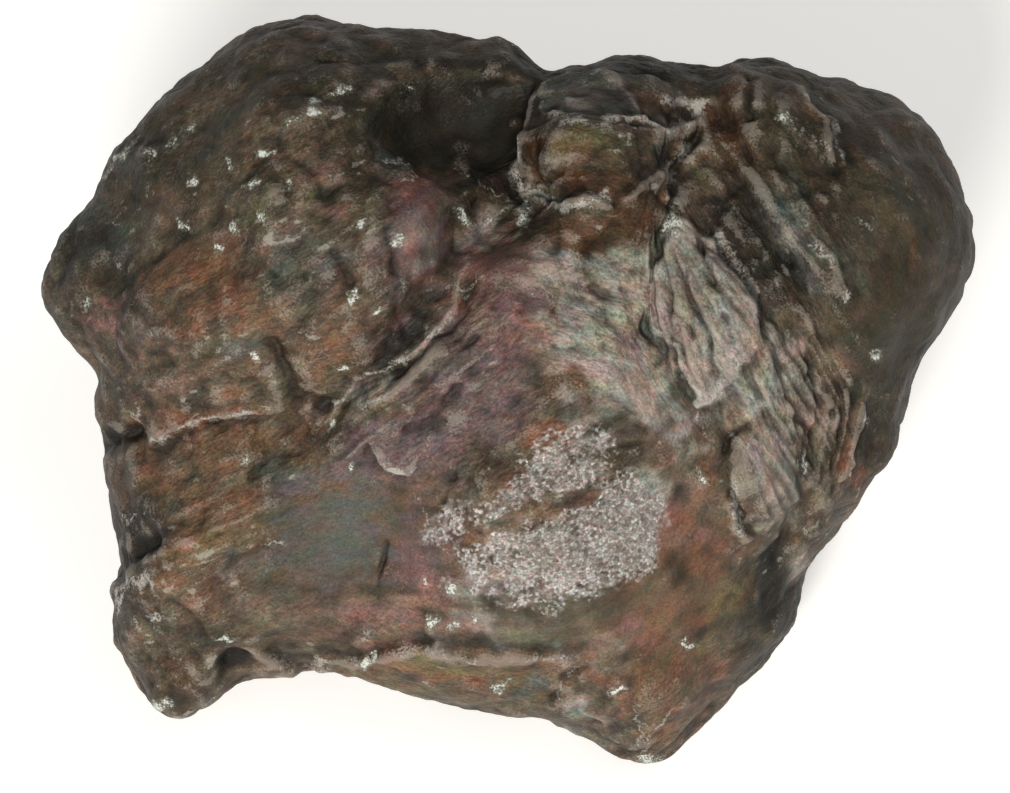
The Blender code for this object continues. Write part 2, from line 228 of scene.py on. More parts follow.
        (-6, 40, 10, 8, 0, 1.1), (0, 19, 6, 4, 0, 0.7), (55, 8, 7, 8, 0, 0.4),
        (-22, -22, 18, 11, 10, 0.95), (27, -22, 10, 13, 0, 0.8), (4, -33, 16, 5, 8, 0.9),
        (-13, 23, 4, 7, 0, 0.6), (60, 20, 12, 20, 0, 0.65), (-10, 24, 6, 8, 0, 0.6),
        (19, -3, 9, 7, 0, 0.6), (-50, 26, 8, 8, 0, 0.5), (22, -36, 14, 6, 10, 0.6),
        (41, -14, 5, 6, 0, 0.7),
    ],
    # where it is crumbly, and stands rougher
    "crumbly": [
        (8, 34, 14, 10, 0, 0.8), (-47, -25, 12, 9, 20, 0.7), (27, 38, 5, 12, 20, 0.9),
        (-50, -42, 7, 7, 0, 0.8), (15, 14, 9, 9, 0, 0.6), (-30, 22, 20, 14, 20, 0.5),
        (7, -20, 14, 10, 12, 0.7), (-44, 0, 12, 7, 20, 0.6),
    ],
}


# slopes for smooth noise between -1 and 1, the same every time
edgeMiddles = np.array([
    (1, 1, 0), (-1, 1, 0), (1, -1, 0), (-1, -1, 0), (1, 0, 1), (-1, 0, 1),
    (1, 0, -1), (-1, 0, -1), (0, 1, 1), (0, -1, 1), (0, 1, -1), (0, -1, -1),
], float).T


def latticeNoise(points, seed):
    batch = 16384
    result = np.empty(len(points))

    def fill(start):
        result[start:start + batch] = noiseBatch(points[start:start + batch].T, seed)

    with ThreadPoolExecutor() as workers:
        list(workers.map(fill, range(0, len(points), batch)))
    return result


def noiseBatch(axes, seed):
    cells = [np.floor(axis) for axis in axes]
    inside = [axis - cell for axis, cell in zip(axes, cells)]
    eases = [share ** 3 * (share * (share * 6 - 15) + 10) for share in inside]
    across, over, deep = [cell.astype(np.int64) for cell in cells]
    total = np.zeros(len(across))
    for corner in product((0, 1), repeat=3):
        mixed = ((across + corner[0]) * 374761393 + (over + corner[1]) * 668265263
                 + (deep + corner[2]) * 1274126177 + seed * 974711) & 0xffffffff
        mixed = ((mixed ^ (mixed >> 13)) * 1103515245) & 0xffffffff
        mixed ^= mixed >> 16
        slope = edgeMiddles[:, mixed % 12]
        weight = 1.0
        pull = 0.0
        for axis in range(3):
            weight = weight * (eases[axis] if corner[axis] else 1 - eases[axis])
            pull = pull + slope[axis] * (inside[axis] - corner[axis])
        total += weight * pull
    return total


def layeredNoise(points, size, layers, seed):
    total = np.zeros(len(points))
    for layer in range(layers):
        total += latticeNoise(points / size * 2 ** layer, seed + layer) / 2 ** layer
    return total


# noise in three directions at once
def noiseShift(points, seed):
    return np.stack([latticeNoise(points, seed + axis) for axis in range(3)], axis=1)


def smoothStep(low, high, value):
    share = np.clip((value - low) / (high - low), 0, 1)
    return share * share * (3 - 2 * share)


# places measured along and across a line through a point
def turned(sheet, right, up, turn):
    cosTurn, sinTurn = math.cos(math.radians(turn)), math.sin(math.radians(turn))
    aside, over = sheet[:, 0] - right, sheet[:, 1] - up
    return aside * cosTurn + over * sinTurn, over * cosTurn - aside * sinTurn


# how far each place is from the middle of an ellipse: 1 at its edge
def spotReach(sheet, right, up, length, width, turn):
    along, across = turned(sheet, right, up, turn)
    return np.hypot(along / length, across / width)


# 1 at a point, falling away round it
def nearness(sheet, right, up, reach):
    return np.exp(-((sheet[:, 0] - right) ** 2 + (sheet[:, 1] - up) ** 2) / reach ** 2)


def spotAmount(sheet, spots):
    total = np.zeros(len(sheet))
    for right, up, length, width, turn, amount in spots:
        total += amount * np.exp(-spotReach(sheet, right, up, length, width, turn) ** 2.4)
    return total


def spotMask(sheet, spots, face, most=1.0):
    return np.clip(spotAmount(sheet, spots), 0, most) * face


def crystalAmount(sheet, face):
    return spotMask(sheet, colours["crystal"], face, 1.2)


# for each place: distance to a path, signed side of it (+ is left) and share walked
def pathReach(sheet, path, reach):
    corners = np.array(path, float)
    low, high = corners.min(axis=0) - reach, corners.max(axis=0) + reach
    near = np.flatnonzero(np.all((sheet > low) & (sheet < high), axis=1))
    places = sheet[near]
    gap, side, walked = np.full(len(near), 1e6), np.ones(len(near)), np.zeros(len(near))
    runs = corners[1:] - corners[:-1]
    lengths = np.hypot(runs[:, 0], runs[:, 1])
    start = 0.0
    for corner, run, length in zip(corners, runs, lengths):
        away = places - corner
        along = np.clip((away @ run) / length ** 2, 0, 1)
        off = away - along[:, None] * run
        distance = np.hypot(off[:, 0], off[:, 1])
        closer = distance < gap
        gap = np.where(closer, distance, gap)
        side = np.where(closer, np.sign(run[0] * away[:, 1] - run[1] * away[:, 0]), side)
        walked = np.where(closer, (start + along * length) / lengths.sum(), walked)
        start += length
    return near, gap, side, walked


# 1 inside an outline, falling to 0 over the edge width outside it
def plateAmount(sheet, corners, soft):
    near, gap, side, walked = pathReach(sheet, [*corners, corners[0]], 3 * soft)
    places = sheet[near]
    inside = np.zeros(len(near), bool)
    for (startRight, startUp), (endRight, endUp) in zip(corners, [*corners[1:], corners[0]]):
        crosses = (startUp > places[:, 1]) != (endUp > places[:, 1])
        if startUp != endUp:
            meets = startRight + (places[:, 1] - startUp) / (endUp - startUp) * (endRight - startRight)
            inside ^= crosses & (places[:, 0] < meets)
    amount = np.zeros(len(sheet))
    amount[near] = smoothStep(-soft, soft * 0.6, np.where(inside, gap, -gap))
    return amount


def taper(walked):
    return smoothStep(-0.02, 0.14, walked) * smoothStep(1.02, 0.86, walked)


# which way the grain runs at each place, as an angle
def grainWay(sheet):
    cosines, sines = np.zeros(len(sheet)), np.full(len(sheet), 1e-9)
    for right, up, reach, angle in stone["grainWays"]:
        pull = nearness(sheet, right, up, reach)
        cosines += pull * math.cos(2 * math.radians(angle))
        sines += pull * math.sin(2 * math.radians(angle))
    return 0.5 * np.arctan2(sines, cosines)


# noise drawn out along the grain
def strokeNoise(sheet, depth, way, size, stretch, seed):
    total, shares = np.zeros(len(sheet)), np.zeros(len(sheet))
    directions = 6
    for step in range(directions):
        angle = math.pi * step / directions
        share = np.maximum(np.cos(2 * (way - angle)), 0) ** 6
        some = np.flatnonzero(share > 0.01)
        along = sheet[some, 0] * math.cos(angle) + sheet[some, 1] * math.sin(angle)
        across = sheet[some, 1] * math.cos(angle) - sheet[some, 0] * math.sin(angle)
        places = np.stack([along / (size * stretch), across / size, depth[some] / (1.5 * size)], axis=1)
        total[some] += share[some] * latticeNoise(places, seed + step)
        shares[some] += share[some] ** 2
    return total / np.sqrt(np.maximum(shares, 1e-6))


# noise drawn out along the grain where the stone faces the viewer squarely, plain noise elsewhere
def grainNoise(ground, places, bent, across, stretch, seed, plain, plainSeed):
    drawn = strokeNoise(ground["flat"], places[:, 2], ground["way"], across, stretch, seed)
    return drawn * ground["square"] + latticeNoise(bent / plain, plainSeed) * (1 - ground["square"])


# one flat-topped grain for each cell: how high each place stands, its grain's own number
# and how far in from its edge it is
def grainCells(sheet, size, seed):
    scaled = sheet / size
    cell = np.floor(scaled).astype(np.int64)
    best, second = np.full(len(sheet), 9.0), np.full(len(sheet), 9.0)
    height, number = np.zeros(len(sheet)), np.zeros(len(sheet))
    for step in product((-1, 0, 1), repeat=2):
        at = cell + step
        mixed = (at[:, 0] * 374761393 + at[:, 1] * 668265263 + seed * 974711) & 0xffffffff
        parts = []
        for _ in range(5):
            mixed = ((mixed ^ (mixed >> 13)) * 1103515245 + 12345) & 0xffffffff
            parts.append(((mixed >> 8) & 0xffff) / 65535)
        away = scaled - (at + np.stack([parts[0], parts[1]], axis=1))
        gap = np.hypot(away[:, 0], away[:, 1])
        closer = gap < best
        second = np.where(closer, best, np.minimum(second, gap))
        best = np.where(closer, gap, best)
        slant = (parts[2] - 0.5) * away[:, 0] + (parts[3] - 0.5) * away[:, 1]
        height = np.where(closer, parts[4] + 1.6 * slant, height)
        number = np.where(closer, parts[4], number)
    return height, number, smoothStep(0.02, 0.22, second - best)


def runModifiers(piece):
    shaped = bpy.data.meshes.new_from_object(piece.evaluated_get(bpy.context.evaluated_depsgraph_get()))
    piece.modifiers.clear()
    piece.data = shaped


# one row for each thing in a mesh
def rowsOf(things, name, width, kind=np.float32):
    flat = np.empty(len(things) * width, kind)
    things.foreach_get(name, flat)
    return flat.reshape(-1, width)


def pointsOf(mesh):
    return rowsOf(mesh.vertices, "co", 3).astype(float)


def normalsOf(mesh):
    return rowsOf(mesh.vertex_normals, "vector", 3).astype(float)


def edgesOf(mesh):
    return rowsOf(mesh.edges, "vertices", 2, np.int32).astype(np.int64)


def setPoints(mesh, points):
    mesh.vertices.foreach_set("co", points.astype(np.float32).ravel())
    mesh.update()


# places as they are seen on the sheet, in millimetres, and how squarely the surface faces the viewer
def layOut(points, normals):
    away = points - np.array(viewMiddle)
    nearer = away @ np.array(towardsViewer)
    scale = view["distance"] / (view["distance"] - nearer)
    sheet = np.stack([away[:, 0] * scale, (away @ np.array(upTheFace)) * scale], axis=1) / mm
    toEye = np.array(viewMiddle + towardsViewer * view["distance"]) - points
    toEye /= np.linalg.norm(toEye, axis=1)[:, None]
    return sheet, np.sum(normals * toEye, axis=1)


# each point's average over its neighbours, done several times over
def averaged(values, edges, rounds):
    count = np.bincount(edges.ravel(), minlength=len(values)).astype(float)
    result = values.astype(float)
    for _ in range(rounds):
        columns = result.reshape(len(values), -1)
        total = np.empty_like(columns)
        for column in range(columns.shape[1]):
            total[:, column] = (
                np.bincount(edges[:, 0], weights=columns[edges[:, 1], column], minlength=len(values))
                + np.bincount(edges[:, 1], weights=columns[edges[:, 0], column], minlength=len(values))
            )
        result = (total / np.maximum(count, 1)[:, None]).reshape(values.shape)
    return result


# the stone's own shape, copied and cut fine: finest where the broad face is
def fineCopy(source, name):
    bm = bmesh.new()
    bm.from_mesh(source.data)
    bmesh.ops.remove_doubles(bm, verts=bm.verts[:], dist=0.001 * mm)
    mesh = bpy.data.meshes.new(name)
    bm.to_mesh(mesh)
    bm.free()
    piece = bpy.data.objects.new(name, mesh)
    bpy.context.scene.collection.objects.link(piece)
    rounding = piece.modifiers.new("rounding", "SUBSURF")
    rounding.levels = rounding.render_levels = stone["rounding"]
    evening = piece.modifiers.new("evening", "REMESH")
    evening.mode = "VOXEL"
    evening.voxel_size = stone["coarse"] * mm
    runModifiers(piece)
    setPoints(piece.data, averaged(pointsOf(piece.data), edgesOf(piece.data), stone["evening"]))

    cutFiner(piece.data, lambda sheet, facing: facing > stone["finerFrom"])
    cutFiner(piece.data, lambda sheet, facing: crystalAmount(sheet, faceShare(facing)) > stone["grainsFrom"])
    print("stone: cut fine,", len(piece.data.polygons), "faces")
    return piece


def faceShare(facing):
    return smoothStep(*stone["faceFrom"], facing)


# cuts every face that the test picks into four
def cutFiner(mesh, test):
    middles = rowsOf(mesh.polygons, "center", 3).astype(float)
    normals = rowsOf(mesh.polygons, "normal", 3).astype(float)
    picked = test(*layOut(middles, normals))
    bm = bmesh.new()
    bm.from_mesh(mesh)
    bm.faces.ensure_lookup_table()
    edges = {edge for index in np.flatnonzero(picked) for edge in bm.faces[index].edges}
    bmesh.ops.subdivide_edges(bm, edges=list(edges), cuts=1, use_grid_fill=True)
    bm.to_mesh(mesh)
    bm.free()


# height in millimetres that is laid on the smooth stone, along its normals
def surfaceHeight(points, ground):
    places = points / mm
    flat, sheet, face = ground["flat"], ground["sheet"], ground["face"]
    hold = (1 - stone["calmHold"] * ground["calm"]) * (1 + stone["crumblyRise"] * ground["crumbly"])
    bendSize, bendShift = stone["bend"]
    bent = places + bendShift * noiseShift(places / bendSize, 5)
    height = np.zeros(len(points))
    for number, (size, wave, crease) in enumerate(stone["roughness"]):
        height += wave * 1.4 * latticeNoise(bent / size, 10 + number) * hold
        height += crease * (2.2 * np.abs(latticeNoise(bent / size + 31.7, 20 + number)) - 0.5) * hold
    height += spotAmount(sheet, stone["swells"]) * face

    for number, (size, stretch, high) in enumerate(stone["strokes"]):
        seed = 30 + 10 * number
        wave = grainNoise(ground, places, bent, size, stretch, seed, 1.6 * size, seed + 6)
        height += high * (0.8 * wave + 0.9 * ridges(wave)) * hold
    for flute in stone["flutes"]:
        addFlutes(height, places, ground, *flute)
    for high, soft, corners in stone["plates"]:
        height += high * plateAmount(sheet, corners, soft) * face

    size, middle, spread = stone["broken"]
    broken = middle + spread * latticeNoise(places / size, 65)
    for width, deep, path in stone["cuts"]:
        near, gap, side, walked = pathReach(sheet, path, 4 * width)
        uneven = 1 + (broken[near] - 1) * min(1.0, 0.9 / width)
        wide = width * np.clip(uneven, *stone["cutEdges"])
        height[near] -= deep * uneven * np.exp(-(gap / wide) ** 1.4) * taper(walked) * face[near]
    for width, drop, runOut, path in stone["ledges"]:
        near, gap, side, walked = pathReach(sheet, path, 2.5 * runOut)
        signed = gap * side
        step = smoothStep(-width, width * 0.3, signed)
        lip = np.exp(-(np.abs(signed - 0.4 * width) / (1.4 * width)) ** 2) * broken[near]
        fade = np.exp(-(gap / runOut) ** 2) * taper(walked)
        height[near] += drop * ((step - 0.5) + stone["lip"] * lip) * fade * face[near]

    crystal = crystalAmount(sheet, face)
    some = np.flatnonzero(crystal > 0.2)
    standing, number, edge = grainCells(flat[some], stone["crystalSize"], 7)
    rising = smoothStep(*stone["crystalFrom"], crystal[some])
    height[some] += stone["crystalHeight"] * (standing * edge - 0.3) * rising
    return height


# sharp-topped: highest where a wave crosses nought
def ridges(wave):
    return 0.3 - np.abs(wave)


def addFlutes(height, places, ground, right, up, length, width, turn, spacing, high, spread):
    flat, sheet = ground["flat"], ground["sheet"]
    inside = smoothStep(1.25, 0.75, spotReach(sheet, right, up, length, width, turn)) * ground["face"]
    some = np.flatnonzero(inside > 0)
    along, across = turned(flat[some], right, up, turn)
    if spread:
        across = np.arctan2(across, along + spread) * spread
    waverSize, waver = stone["fluteWaver"]
    across = across + waver * latticeNoise(places[some] / waverSize, 50)
    deep = places[some, 2] / 40
    longer, shorter = stone["fluteStretch"]
    streak = np.stack([along / (longer * spacing), across / spacing, deep], axis=1)
    fine = np.stack([along / (shorter * spacing), stone["fineFlute"] * across / spacing, deep], axis=1)
    ribs = 0.6 * latticeNoise(streak, 60) + 0.9 * ridges(latticeNoise(streak, 62))
    ribs += 0.4 * latticeNoise(fine, 61)
    height[some] += high * 1.6 * ribs * inside[some]


def wobbled(points, sheet):
    moved = sheet.copy()
    for number, (size, shift) in enumerate(stone["warp"]):
        for axis, seed in enumerate((70, 80)):
            moved[:, axis] += shift * latticeNoise(points / mm / size, seed + number) * 1.4
    return moved


# where the pulls take each point
def pulled(points, sheet):
    moved = points.copy()
    for right, up, reach, moveRight, moveUp in stone["pulls"]:
        share = nearness(sheet, right, up, reach)[:, None] * mm
        moved += share * (np.array([moveRight, 0, 0]) + moveUp * np.array(upTheFace))
    return moved


def buildStone():
    piece = fineCopy(frame["nodes"][nodeName], "weathered_stone")
    mesh = piece.data
    setPoints(mesh, pulled(pointsOf(mesh), layOut(pointsOf(mesh), normalsOf(mesh))[0]))
    points, normals = pointsOf(mesh), normalsOf(mesh)
    flat, facing = layOut(points, normals)
    sheet, face = wobbled(points, flat), faceShare(facing)
    # what the shapes and the colours both need to know of each point
    ground = {
        "flat": flat, "sheet": sheet, "face": face, "square": smoothStep(*stone["squareFrom"], facing),
        "way": grainWay(flat), "calm": spotMask(sheet, stone["calm"], face),
        "crumbly": spotMask(sheet, stone["crumbly"], face),
    }
    ground["height"] = height = surfaceHeight(points, ground)
    resting = smoothStep(*stone["restingFrom"], (points[:, 2] - points[:, 2].min()) / mm)
    points = points + normals * (height * resting)[:, None] * mm
    points[:, 2] = np.maximum(points[:, 2], boxLow.z)
    setPoints(mesh, points)
    print("stone: shaped, height from", round(height.min(), 2), "to", round(height.max(), 2), "mm")
    return piece, ground


# the stone's colours, as screen colours from 0 to 255
# each tint has its spots: (right, up, half length, half width, turn, amount)
colours = {
    "ground": (92, 75, 60),
    "groundDark": (60, 48, 34),
    "groundLight": (116, 98, 81),
    "hiddenTints": ("olive", "rust", "purple", "slate"),
    # raised plates that take a tint of their own: (number of the plate, amount)
    "paintedPlates": {"pale": [(0, 0.85), (1, 0.15)], "slate": [(2, 0.6)]},
    # small shifts of colour: (size in mm, what it does to red, green and blue)
    "leanings": ((3.6, (0.24, -0.08, -0.06)), (1.3, (0.18, -0.05, -0.12)), (2.4, (0.0, -0.06, 0.17))),
    "depth": (0.83, 0.94, 0.98),   # of every tint's own red, green and blue
    "paintedSideShade": 0.56,        # painted shade on the flanks and top: what they keep of the colour
    "wornEdge": (158, 148, 138),
    "fleck": (146, 144, 134),
    "halo": (118, 120, 108),
    "crust": (168, 166, 160),
    "chip": (206, 210, 206),
    "grainEdge": (96, 87, 82),
    "grainDark": (132, 124, 119),
    "grainBright": (206, 208, 213),
    "olive": ((56, 49, 32), [
        (44, 22, 12, 5, -52, 0.3), (46, 36, 5, 5, 0, 0.3), (-26, 50, 22, 6, 0, 0.5),
        (-12, 41, 13, 9, 0, 1.0), (-52, 37, 9, 8, 40, 0.8), (-62, 22, 6, 8, 0, 0.8),
        (-34, 34, 22, 12, 10, 0.35), (58, 32, 15, 18, -50, 0.6), (59, 11, 9, 10, 0, 0.9),
        (38, 47.5, 14, 3, 0, 0.8), (17, 48.6, 17, 2.5, 0, 1.1), (55, -5, 4, 8, 0, 0.8),
        (40, -26, 5, 5, 0, 0.6), (38, -36, 7, 8, 0, 0.5), (37, 23, 9, 2.5, -50, 0.9),
        (-49, -16, 8, 4, 10, 0.4), (-44, -38, 6, 5, 0, 0.6), (-30, -1, 3, 5, 20, 0.6),
        (48, 16, 14, 2.5, -55, 0.7), (40, 33, 10, 7, -50, 0.6),
    ]),
    "brown": ((120, 86, 63), [
        (-45, -10, 18, 9, 10, 0.7), (-44, -24, 12, 8, 25, 0.7), (-8, -40, 30, 4, 0, 0.8),
        (28, -30, 14, 12, 0, 0.6), (24, -45, 12, 7, 40, 0.6), (-30, 10, 16, 8, 20, 0.4),
        (-20, -20, 22, 12, 0, 0.7), (20, 25, 8, 8, 0, 0.5),
    ]),
    "purple": ((108, 85, 88), [
        (-13, 24, 5, 7, 0, 0.4), (0, 8, 6, 9, 0, 0.6), (-20, -12, 8, 6, 0, 0.4), (-15, 22, 5, 9, 0, 0.8),
        (-16, 10, 4, 7, -35, 0.5), (-5, 4, 8, 8, 40, 0.8), (-12, -6.5, 10, 7, 30, 0.9),
        (-28, -11, 12, 3, 25, 0.6), (-15, -24.5, 4, 10, -15, 0.6), (-10, -24.5, 3, 9, -20, 0.6),
        (4, 15, 3, 5, 0, 0.8), (-31, -30.5, 9, 4, 0, 0.4), (-60, -15.5, 3, 6, 0, 0.7),
        (-56, 10, 6, 2.5, 0, 0.5), (20, 28, 4, 6, 0, 0.4),
    ]),
    "rose": ((146, 105, 97), [
        (-11.5, 24, 4.5, 7, 0, 0.7), (-34, 28, 6, 5, 20, 0.3), (-52, 4, 6, 4, 0, 0.4),
        (-13, 31, 5.5, 3, -10, 0.9), (-24, 34, 7, 4, 0, 0.4), (0.5, 20, 7, 3.6, -5, 1.4),
        (-6, 12, 5, 4, 40, 0.7), (2, 10, 5, 5, 0, 0.6), (23, 20, 1.5, 4, -5, 0.9),
        (-28, 28, 4, 1.5, -10, 0.6), (-60, 11.5, 5, 3, 0, 0.7), (-4, -32, 8, 2.5, 10, 0.7),
        (17, -36.5, 9, 3, 15, 0.6), (-20, -33, 9, 4, 0, 0.7), (-46, -22, 5, 3, 0, 0.3),
        (-44, -4, 8, 2, 10, 0.5), (30, 13, 3, 8, 20, 0.4), (24, -18, 6, 8, 0, 0.6),
        (-12, -27, 5, 6, 0, 0.5),
    ]),
    "rust": ((126, 81, 58), [
        (-50, 16, 8.5, 6, 0, 0.35), (-43.5, 18.5, 5, 5, 20, 0.4), (-40, 15, 2.5, 5.5, 10, 0.7),
        (-46.5, 10, 6, 3, 0, 0.35), (-51, -3.6, 4.2, 2, 0, 1.1), (-40, -3, 6, 1.5, 15, 0.4),
        (8, 6, 5, 6, 10, 0.8), (5.5, -6.5, 4, 2.5, 20, 0.9), (3, -12.5, 3, 2.5, 0, 0.8),
        (8, -16.3, 7, 1.5, 12, 0.9), (0, -20, 6, 1.2, 15, 0.7), (31, -15.5, 4, 5.5, 0, 0.6),
        (27.5, -21.5, 4, 4, 0, 0.6), (52, -12.5, 2, 5, 15, 0.8), (46, -5, 2, 5, -10, 0.4),
        (-45.7, 22, 5, 3, 30, 0.5), (9, 9, 4, 4, 0, 0.5), (-10, -41, 10, 2, 0, 0.3),
        (30, -38, 7, 5, 20, 0.4),
    ]),
    "umber": ((84, 53, 29), [
        (15, 25, 7, 4, 0, 0.6), (9, 1, 4, 6, 10, 0.4), (32, -17, 4, 6, 0, 0.3),
        (22, 43.5, 4.2, 2.6, 0, 1.0), (6.2, 35.8, 1.8, 2.4, 0, 1.1), (11.7, 32.3, 6, 2.2, 0, 1.0),
        (11.2, 22.6, 3, 3, 0, 1.0), (11, 21.1, 2, 1.4, 0, 1.2), (-0.5, 31.7, 3, 2, 0, 0.8),
        (32.2, 43, 3.2, 5.5, -15, 1.0), (41.7, 46.2, 2, 4, -15, 0.9), (21, 19.2, 1.6, 4.5, 10, 0.9),
        (32.2, 37, 4, 4, 0, 0.6), (49.5, 11.4, 4, 2, -50, 0.6), (17, 28, 6, 5, 0, 0.4),
        (-48, -43, 3, 5, 10, 0.5), (44, -34, 5, 6, 0, 0.4),
    ]),
    "ochre": ((112, 98, 66), [
        (-11, -39, 4.5, 1.8, 0, 0.9), (-20, -42, 9, 2, -10, 0.5), (11.5, 36.5, 4.5, 2, -3, 1.0),
        (-33, 29, 7, 4, 0, 0.5), (34, -31, 6, 4, 0, 0.5), (5, -45, 9, 2, 0, 0.5), (-2, -41, 5, 2, 0, 0.5),
        (-46, -24, 10, 5, 20, 0.4),
    ]),
    "slate": ((86, 86, 81), [
        (-58, 26, 6, 4, 40, 0.4), (24, 14, 6, 5, -20, 0.4), (33, 18, 8, 2, -60, 0.4),
        (-30, 20, 8, 5, 10, 0.5), (-24.5, -20.3, 8.5, 6.5, 0, 1.1), (12.5, 44, 6, 2.8, -3, 0.9),
        (7, 45, 3, 2.5, 0, 0.7), (-56, 34.5, 4, 2, 40, 0.6), (-61, 27, 3, 3, 0, 0.4),
        (-40, 7, 5, 1.8, -10, 0.8), (-59, 22, 5, 2.5, 30, 0.6), (-16.5, 34, 3.2, 3.2, 0, 0.8),
        (-56, -29, 5, 4, 20, 0.6), (-38, -25.5, 9, 4, 15, 0.8), (35, -36.5, 9, 4, 10, 0.4),
        (2, -42.5, 8, 2, 0, 0.5), (67, 22, 3, 7, 0, 0.6), (44, 24, 11, 5, -55, 0.9),
        (35, -2, 4, 3, 0, 0.3), (-35, -12, 10, 5, 15, 0.4), (24, -1, 7, 3, 0, 0.5),
        (-29, -13, 6, 3, 15, 0.4),
    ]),
    "pale": ((172, 158, 150), [
        (29.5, 13, 12, 6, -66, 0.35), (12, 43.6, 5, 2, -3, 0.4), (-4, 24.5, 4.5, 3, 20, 0.6),
        (-12, 24, 4, 6, 0, 0.3), (13, -48, 6, 4, -30, 0.5), (20, 1, 5, 4, 0, 0.4),
        (-2, -35.5, 12, 4, 5, 0.3), (14, -38, 8, 3.5, 0, 0.3), (23, 38, 3, 5, 0, 0.4),
        (60, 33, 8, 5, -55, 0.2), (-18, 46, 12, 3, 5, 0.2), (16, 13, 6, 4, 0, 0.9),
        (9.5, 18.5, 2.2, 1.6, 0, 1.0), (9.5, 12.6, 1.6, 1.6, 0, 1.0), (14, 0, 8, 5, 0, 0.35),
        (23, -5, 10, 5, 0, 0.45), (22, 9, 8, 8, 0, 1.2), (13, 9, 8, 6, 0, 0.8), (8, 19, 5, 4, 0, 0.5),
        (18, 19, 5, 5, 0, 0.6), (-9, 24, 5, 5, 0, 0.4), (37, 4, 8, 8, -60, 0.7), (41, -5, 5, 8, -60, 0.6),
        (-15.5, 6, 10, 2.2, 42, 0.6), (-22, -0.5, 6, 1.8, 25, 0.7), (-4.5, -30.5, 7, 4, 5, 0.45),
        (21, -15.5, 3, 5.5, 0, 0.7), (38, -13, 4, 5, -20, 0.6), (42, 26, 9, 3, -52, 0.3),
        (8, 16, 4, 4, 0, 0.4), (44, -26, 1.5, 6, -15, 0.6), (6, -22.5, 15, 9, 12, 0.3),
        (4, 32, 1, 4, -15, 0.9),
    ]),
    "shadow": ((27, 23, 17), [
        (-63, 23, 7, 5, 55, 0.9), (-50, -46, 6, 3, 20, 0.4), (-56, -20, 3, 6, 0, 0.6),
        (43, -33, 5, 5, 0, 0.6), (64, 8, 4, 7, -30, 0.9), (38, -41, 6, 4, 50, 0.4),
        (-30, -36, 15, 4, 0, 0.36), (-54, -21, 5, 6, 0, 0.8), (-7, 46, 9, 4, 0, 0.5),
        (50, 29, 12, 4, -55, 0.3), (38, 22.5, 10, 2.2, -50, 0.8), (-64, 12, 3, 4, 0, 0.4),
        (41, -25, 3, 4, 0, 0.5), (42, -37, 6, 6, 45, 0.3), (-1.2, 39.5, 4.6, 6.5, 0, 1.3),
        (-9, 40, 9, 6.5, 0, 1.0), (-0.8, 31.7, 4, 2.5, 0, 0.6), (16, 50, 16, 2.8, 0, 1.7),
        (3.6, 43, 1.6, 6, 0, 1.1), (-8.5, 21, 1.3, 4, 10, 0.3), (-13, 11.8, 6, 1.4, 52, 0.7),
        (-18.8, 5.8, 6, 1.4, 42, 0.8), (-26, -0.6, 4, 1.3, 35, 0.7), (26, 29.4, 1.6, 3, 0, 1.1),
        (22.5, 21, 0.8, 6, -8, 0.6), (23.5, 37, 1, 4, -20, 0.6), (31.5, 27, 5, 2, -45, 1.0),
        (38.5, 17, 8, 1.2, -55, 0.6), (-59, -5.4, 2.8, 2.4, 30, 1.1), (-54.7, -23.4, 5.5, 1.6, 33, 1.1),
        (-40.2, -40.5, 2.4, 1.6, 20, 1.2), (35.2, -4.9, 1.4, 0.7, 20, 0.6), (40.5, -29, 2.5, 5, -10, 0.7),
        (54.7, -6.6, 2, 5, 0, 0.7), (45.7, 48.5, 10, 1.3, -8, 0.6), (-10.2, -4.5, 5, 1.8, 35, 0.35),
        (-5, 6, 5, 1.6, 45, 0.4),
    ]),
    # the bright grainy patch, with the rusty bands that run through it taken away
    "crystal": [
        (7, -23, 13.5, 7, 12, 1.25), (19, -19, 3.5, 6, 0, 0.8), (9, -9.5, 7, 4, 32, 1.15),
        (3, -14, 5, 2.4, 35, 0.9), (18, -17, 4, 5, 0, 1.0), (-8, -19, 4, 2.5, 30, 0.7),
        (3, -17.4, 6, 1.2, 22, -0.9), (11, -14.8, 4, 1.1, -5, -0.8), (-3.5, -20.5, 3, 0.8, 30, -0.6),
        (14, -20, 2.5, 1.2, -20, -0.4), (-1, -27, 3, 1, 30, -0.4),
    ],
    # pale crusty edges: (width, amount, path)
    "crusts": [
        (0.5, 1.0, [(21, 14.5), (22.5, 10), (25.5, 6.5), (27.7, 2), (29.5, -1), (31.3, -0.5), (32.5, 2.5),
                    (32.5, 4.5)]),
        (0.5, 1.0, [(-20, -6.5), (-19, -9.5), (-16, -10.7), (-14.3, -10.7), (-12.7, -9)]),
        (0.7, 1.0, [(5, 42), (9, 40.3), (12.3, 39), (15.3, 39), (15.3, 40.3), (20, 41), (24.5, 39.6),
                    (28, 42.5), (30.3, 43.5), (26, 44.5), (23.7, 44.8), (25, 47.5)]),
        (0.5, 0.7, [(8, 38.5), (13, 38.8), (18, 38)]),
        (0.8, 1.1, [(28.2, 38.5), (26.3, 36), (24.8, 32.5), (26.5, 33)]),
        (0.7, 1.1, [(4.2, 40), (1.8, 35), (1.2, 32.4), (4.2, 30), (8.3, 28), (11.3, 28), (15.3, 30),
                    (16.8, 28)]),
        (0.5, 0.8, [(-19.2, 34.4), (-15.7, 35.4), (-13.8, 33.6), (-14, 31), (-16.2, 30.5)]),
        (0.25, 0.7, [(-3.3, 33.5), (-3.4, 31), (-0.3, 29.4), (1.3, 29)]),
        (0.6, 1.1, [(28.5, 25.5), (32.3, 23.5), (35, 20.5), (37.5, 16.5), (38.5, 11)]),
        (0.3, 0.6, [(23.7, 21), (22, 16), (21, 12.5)]),
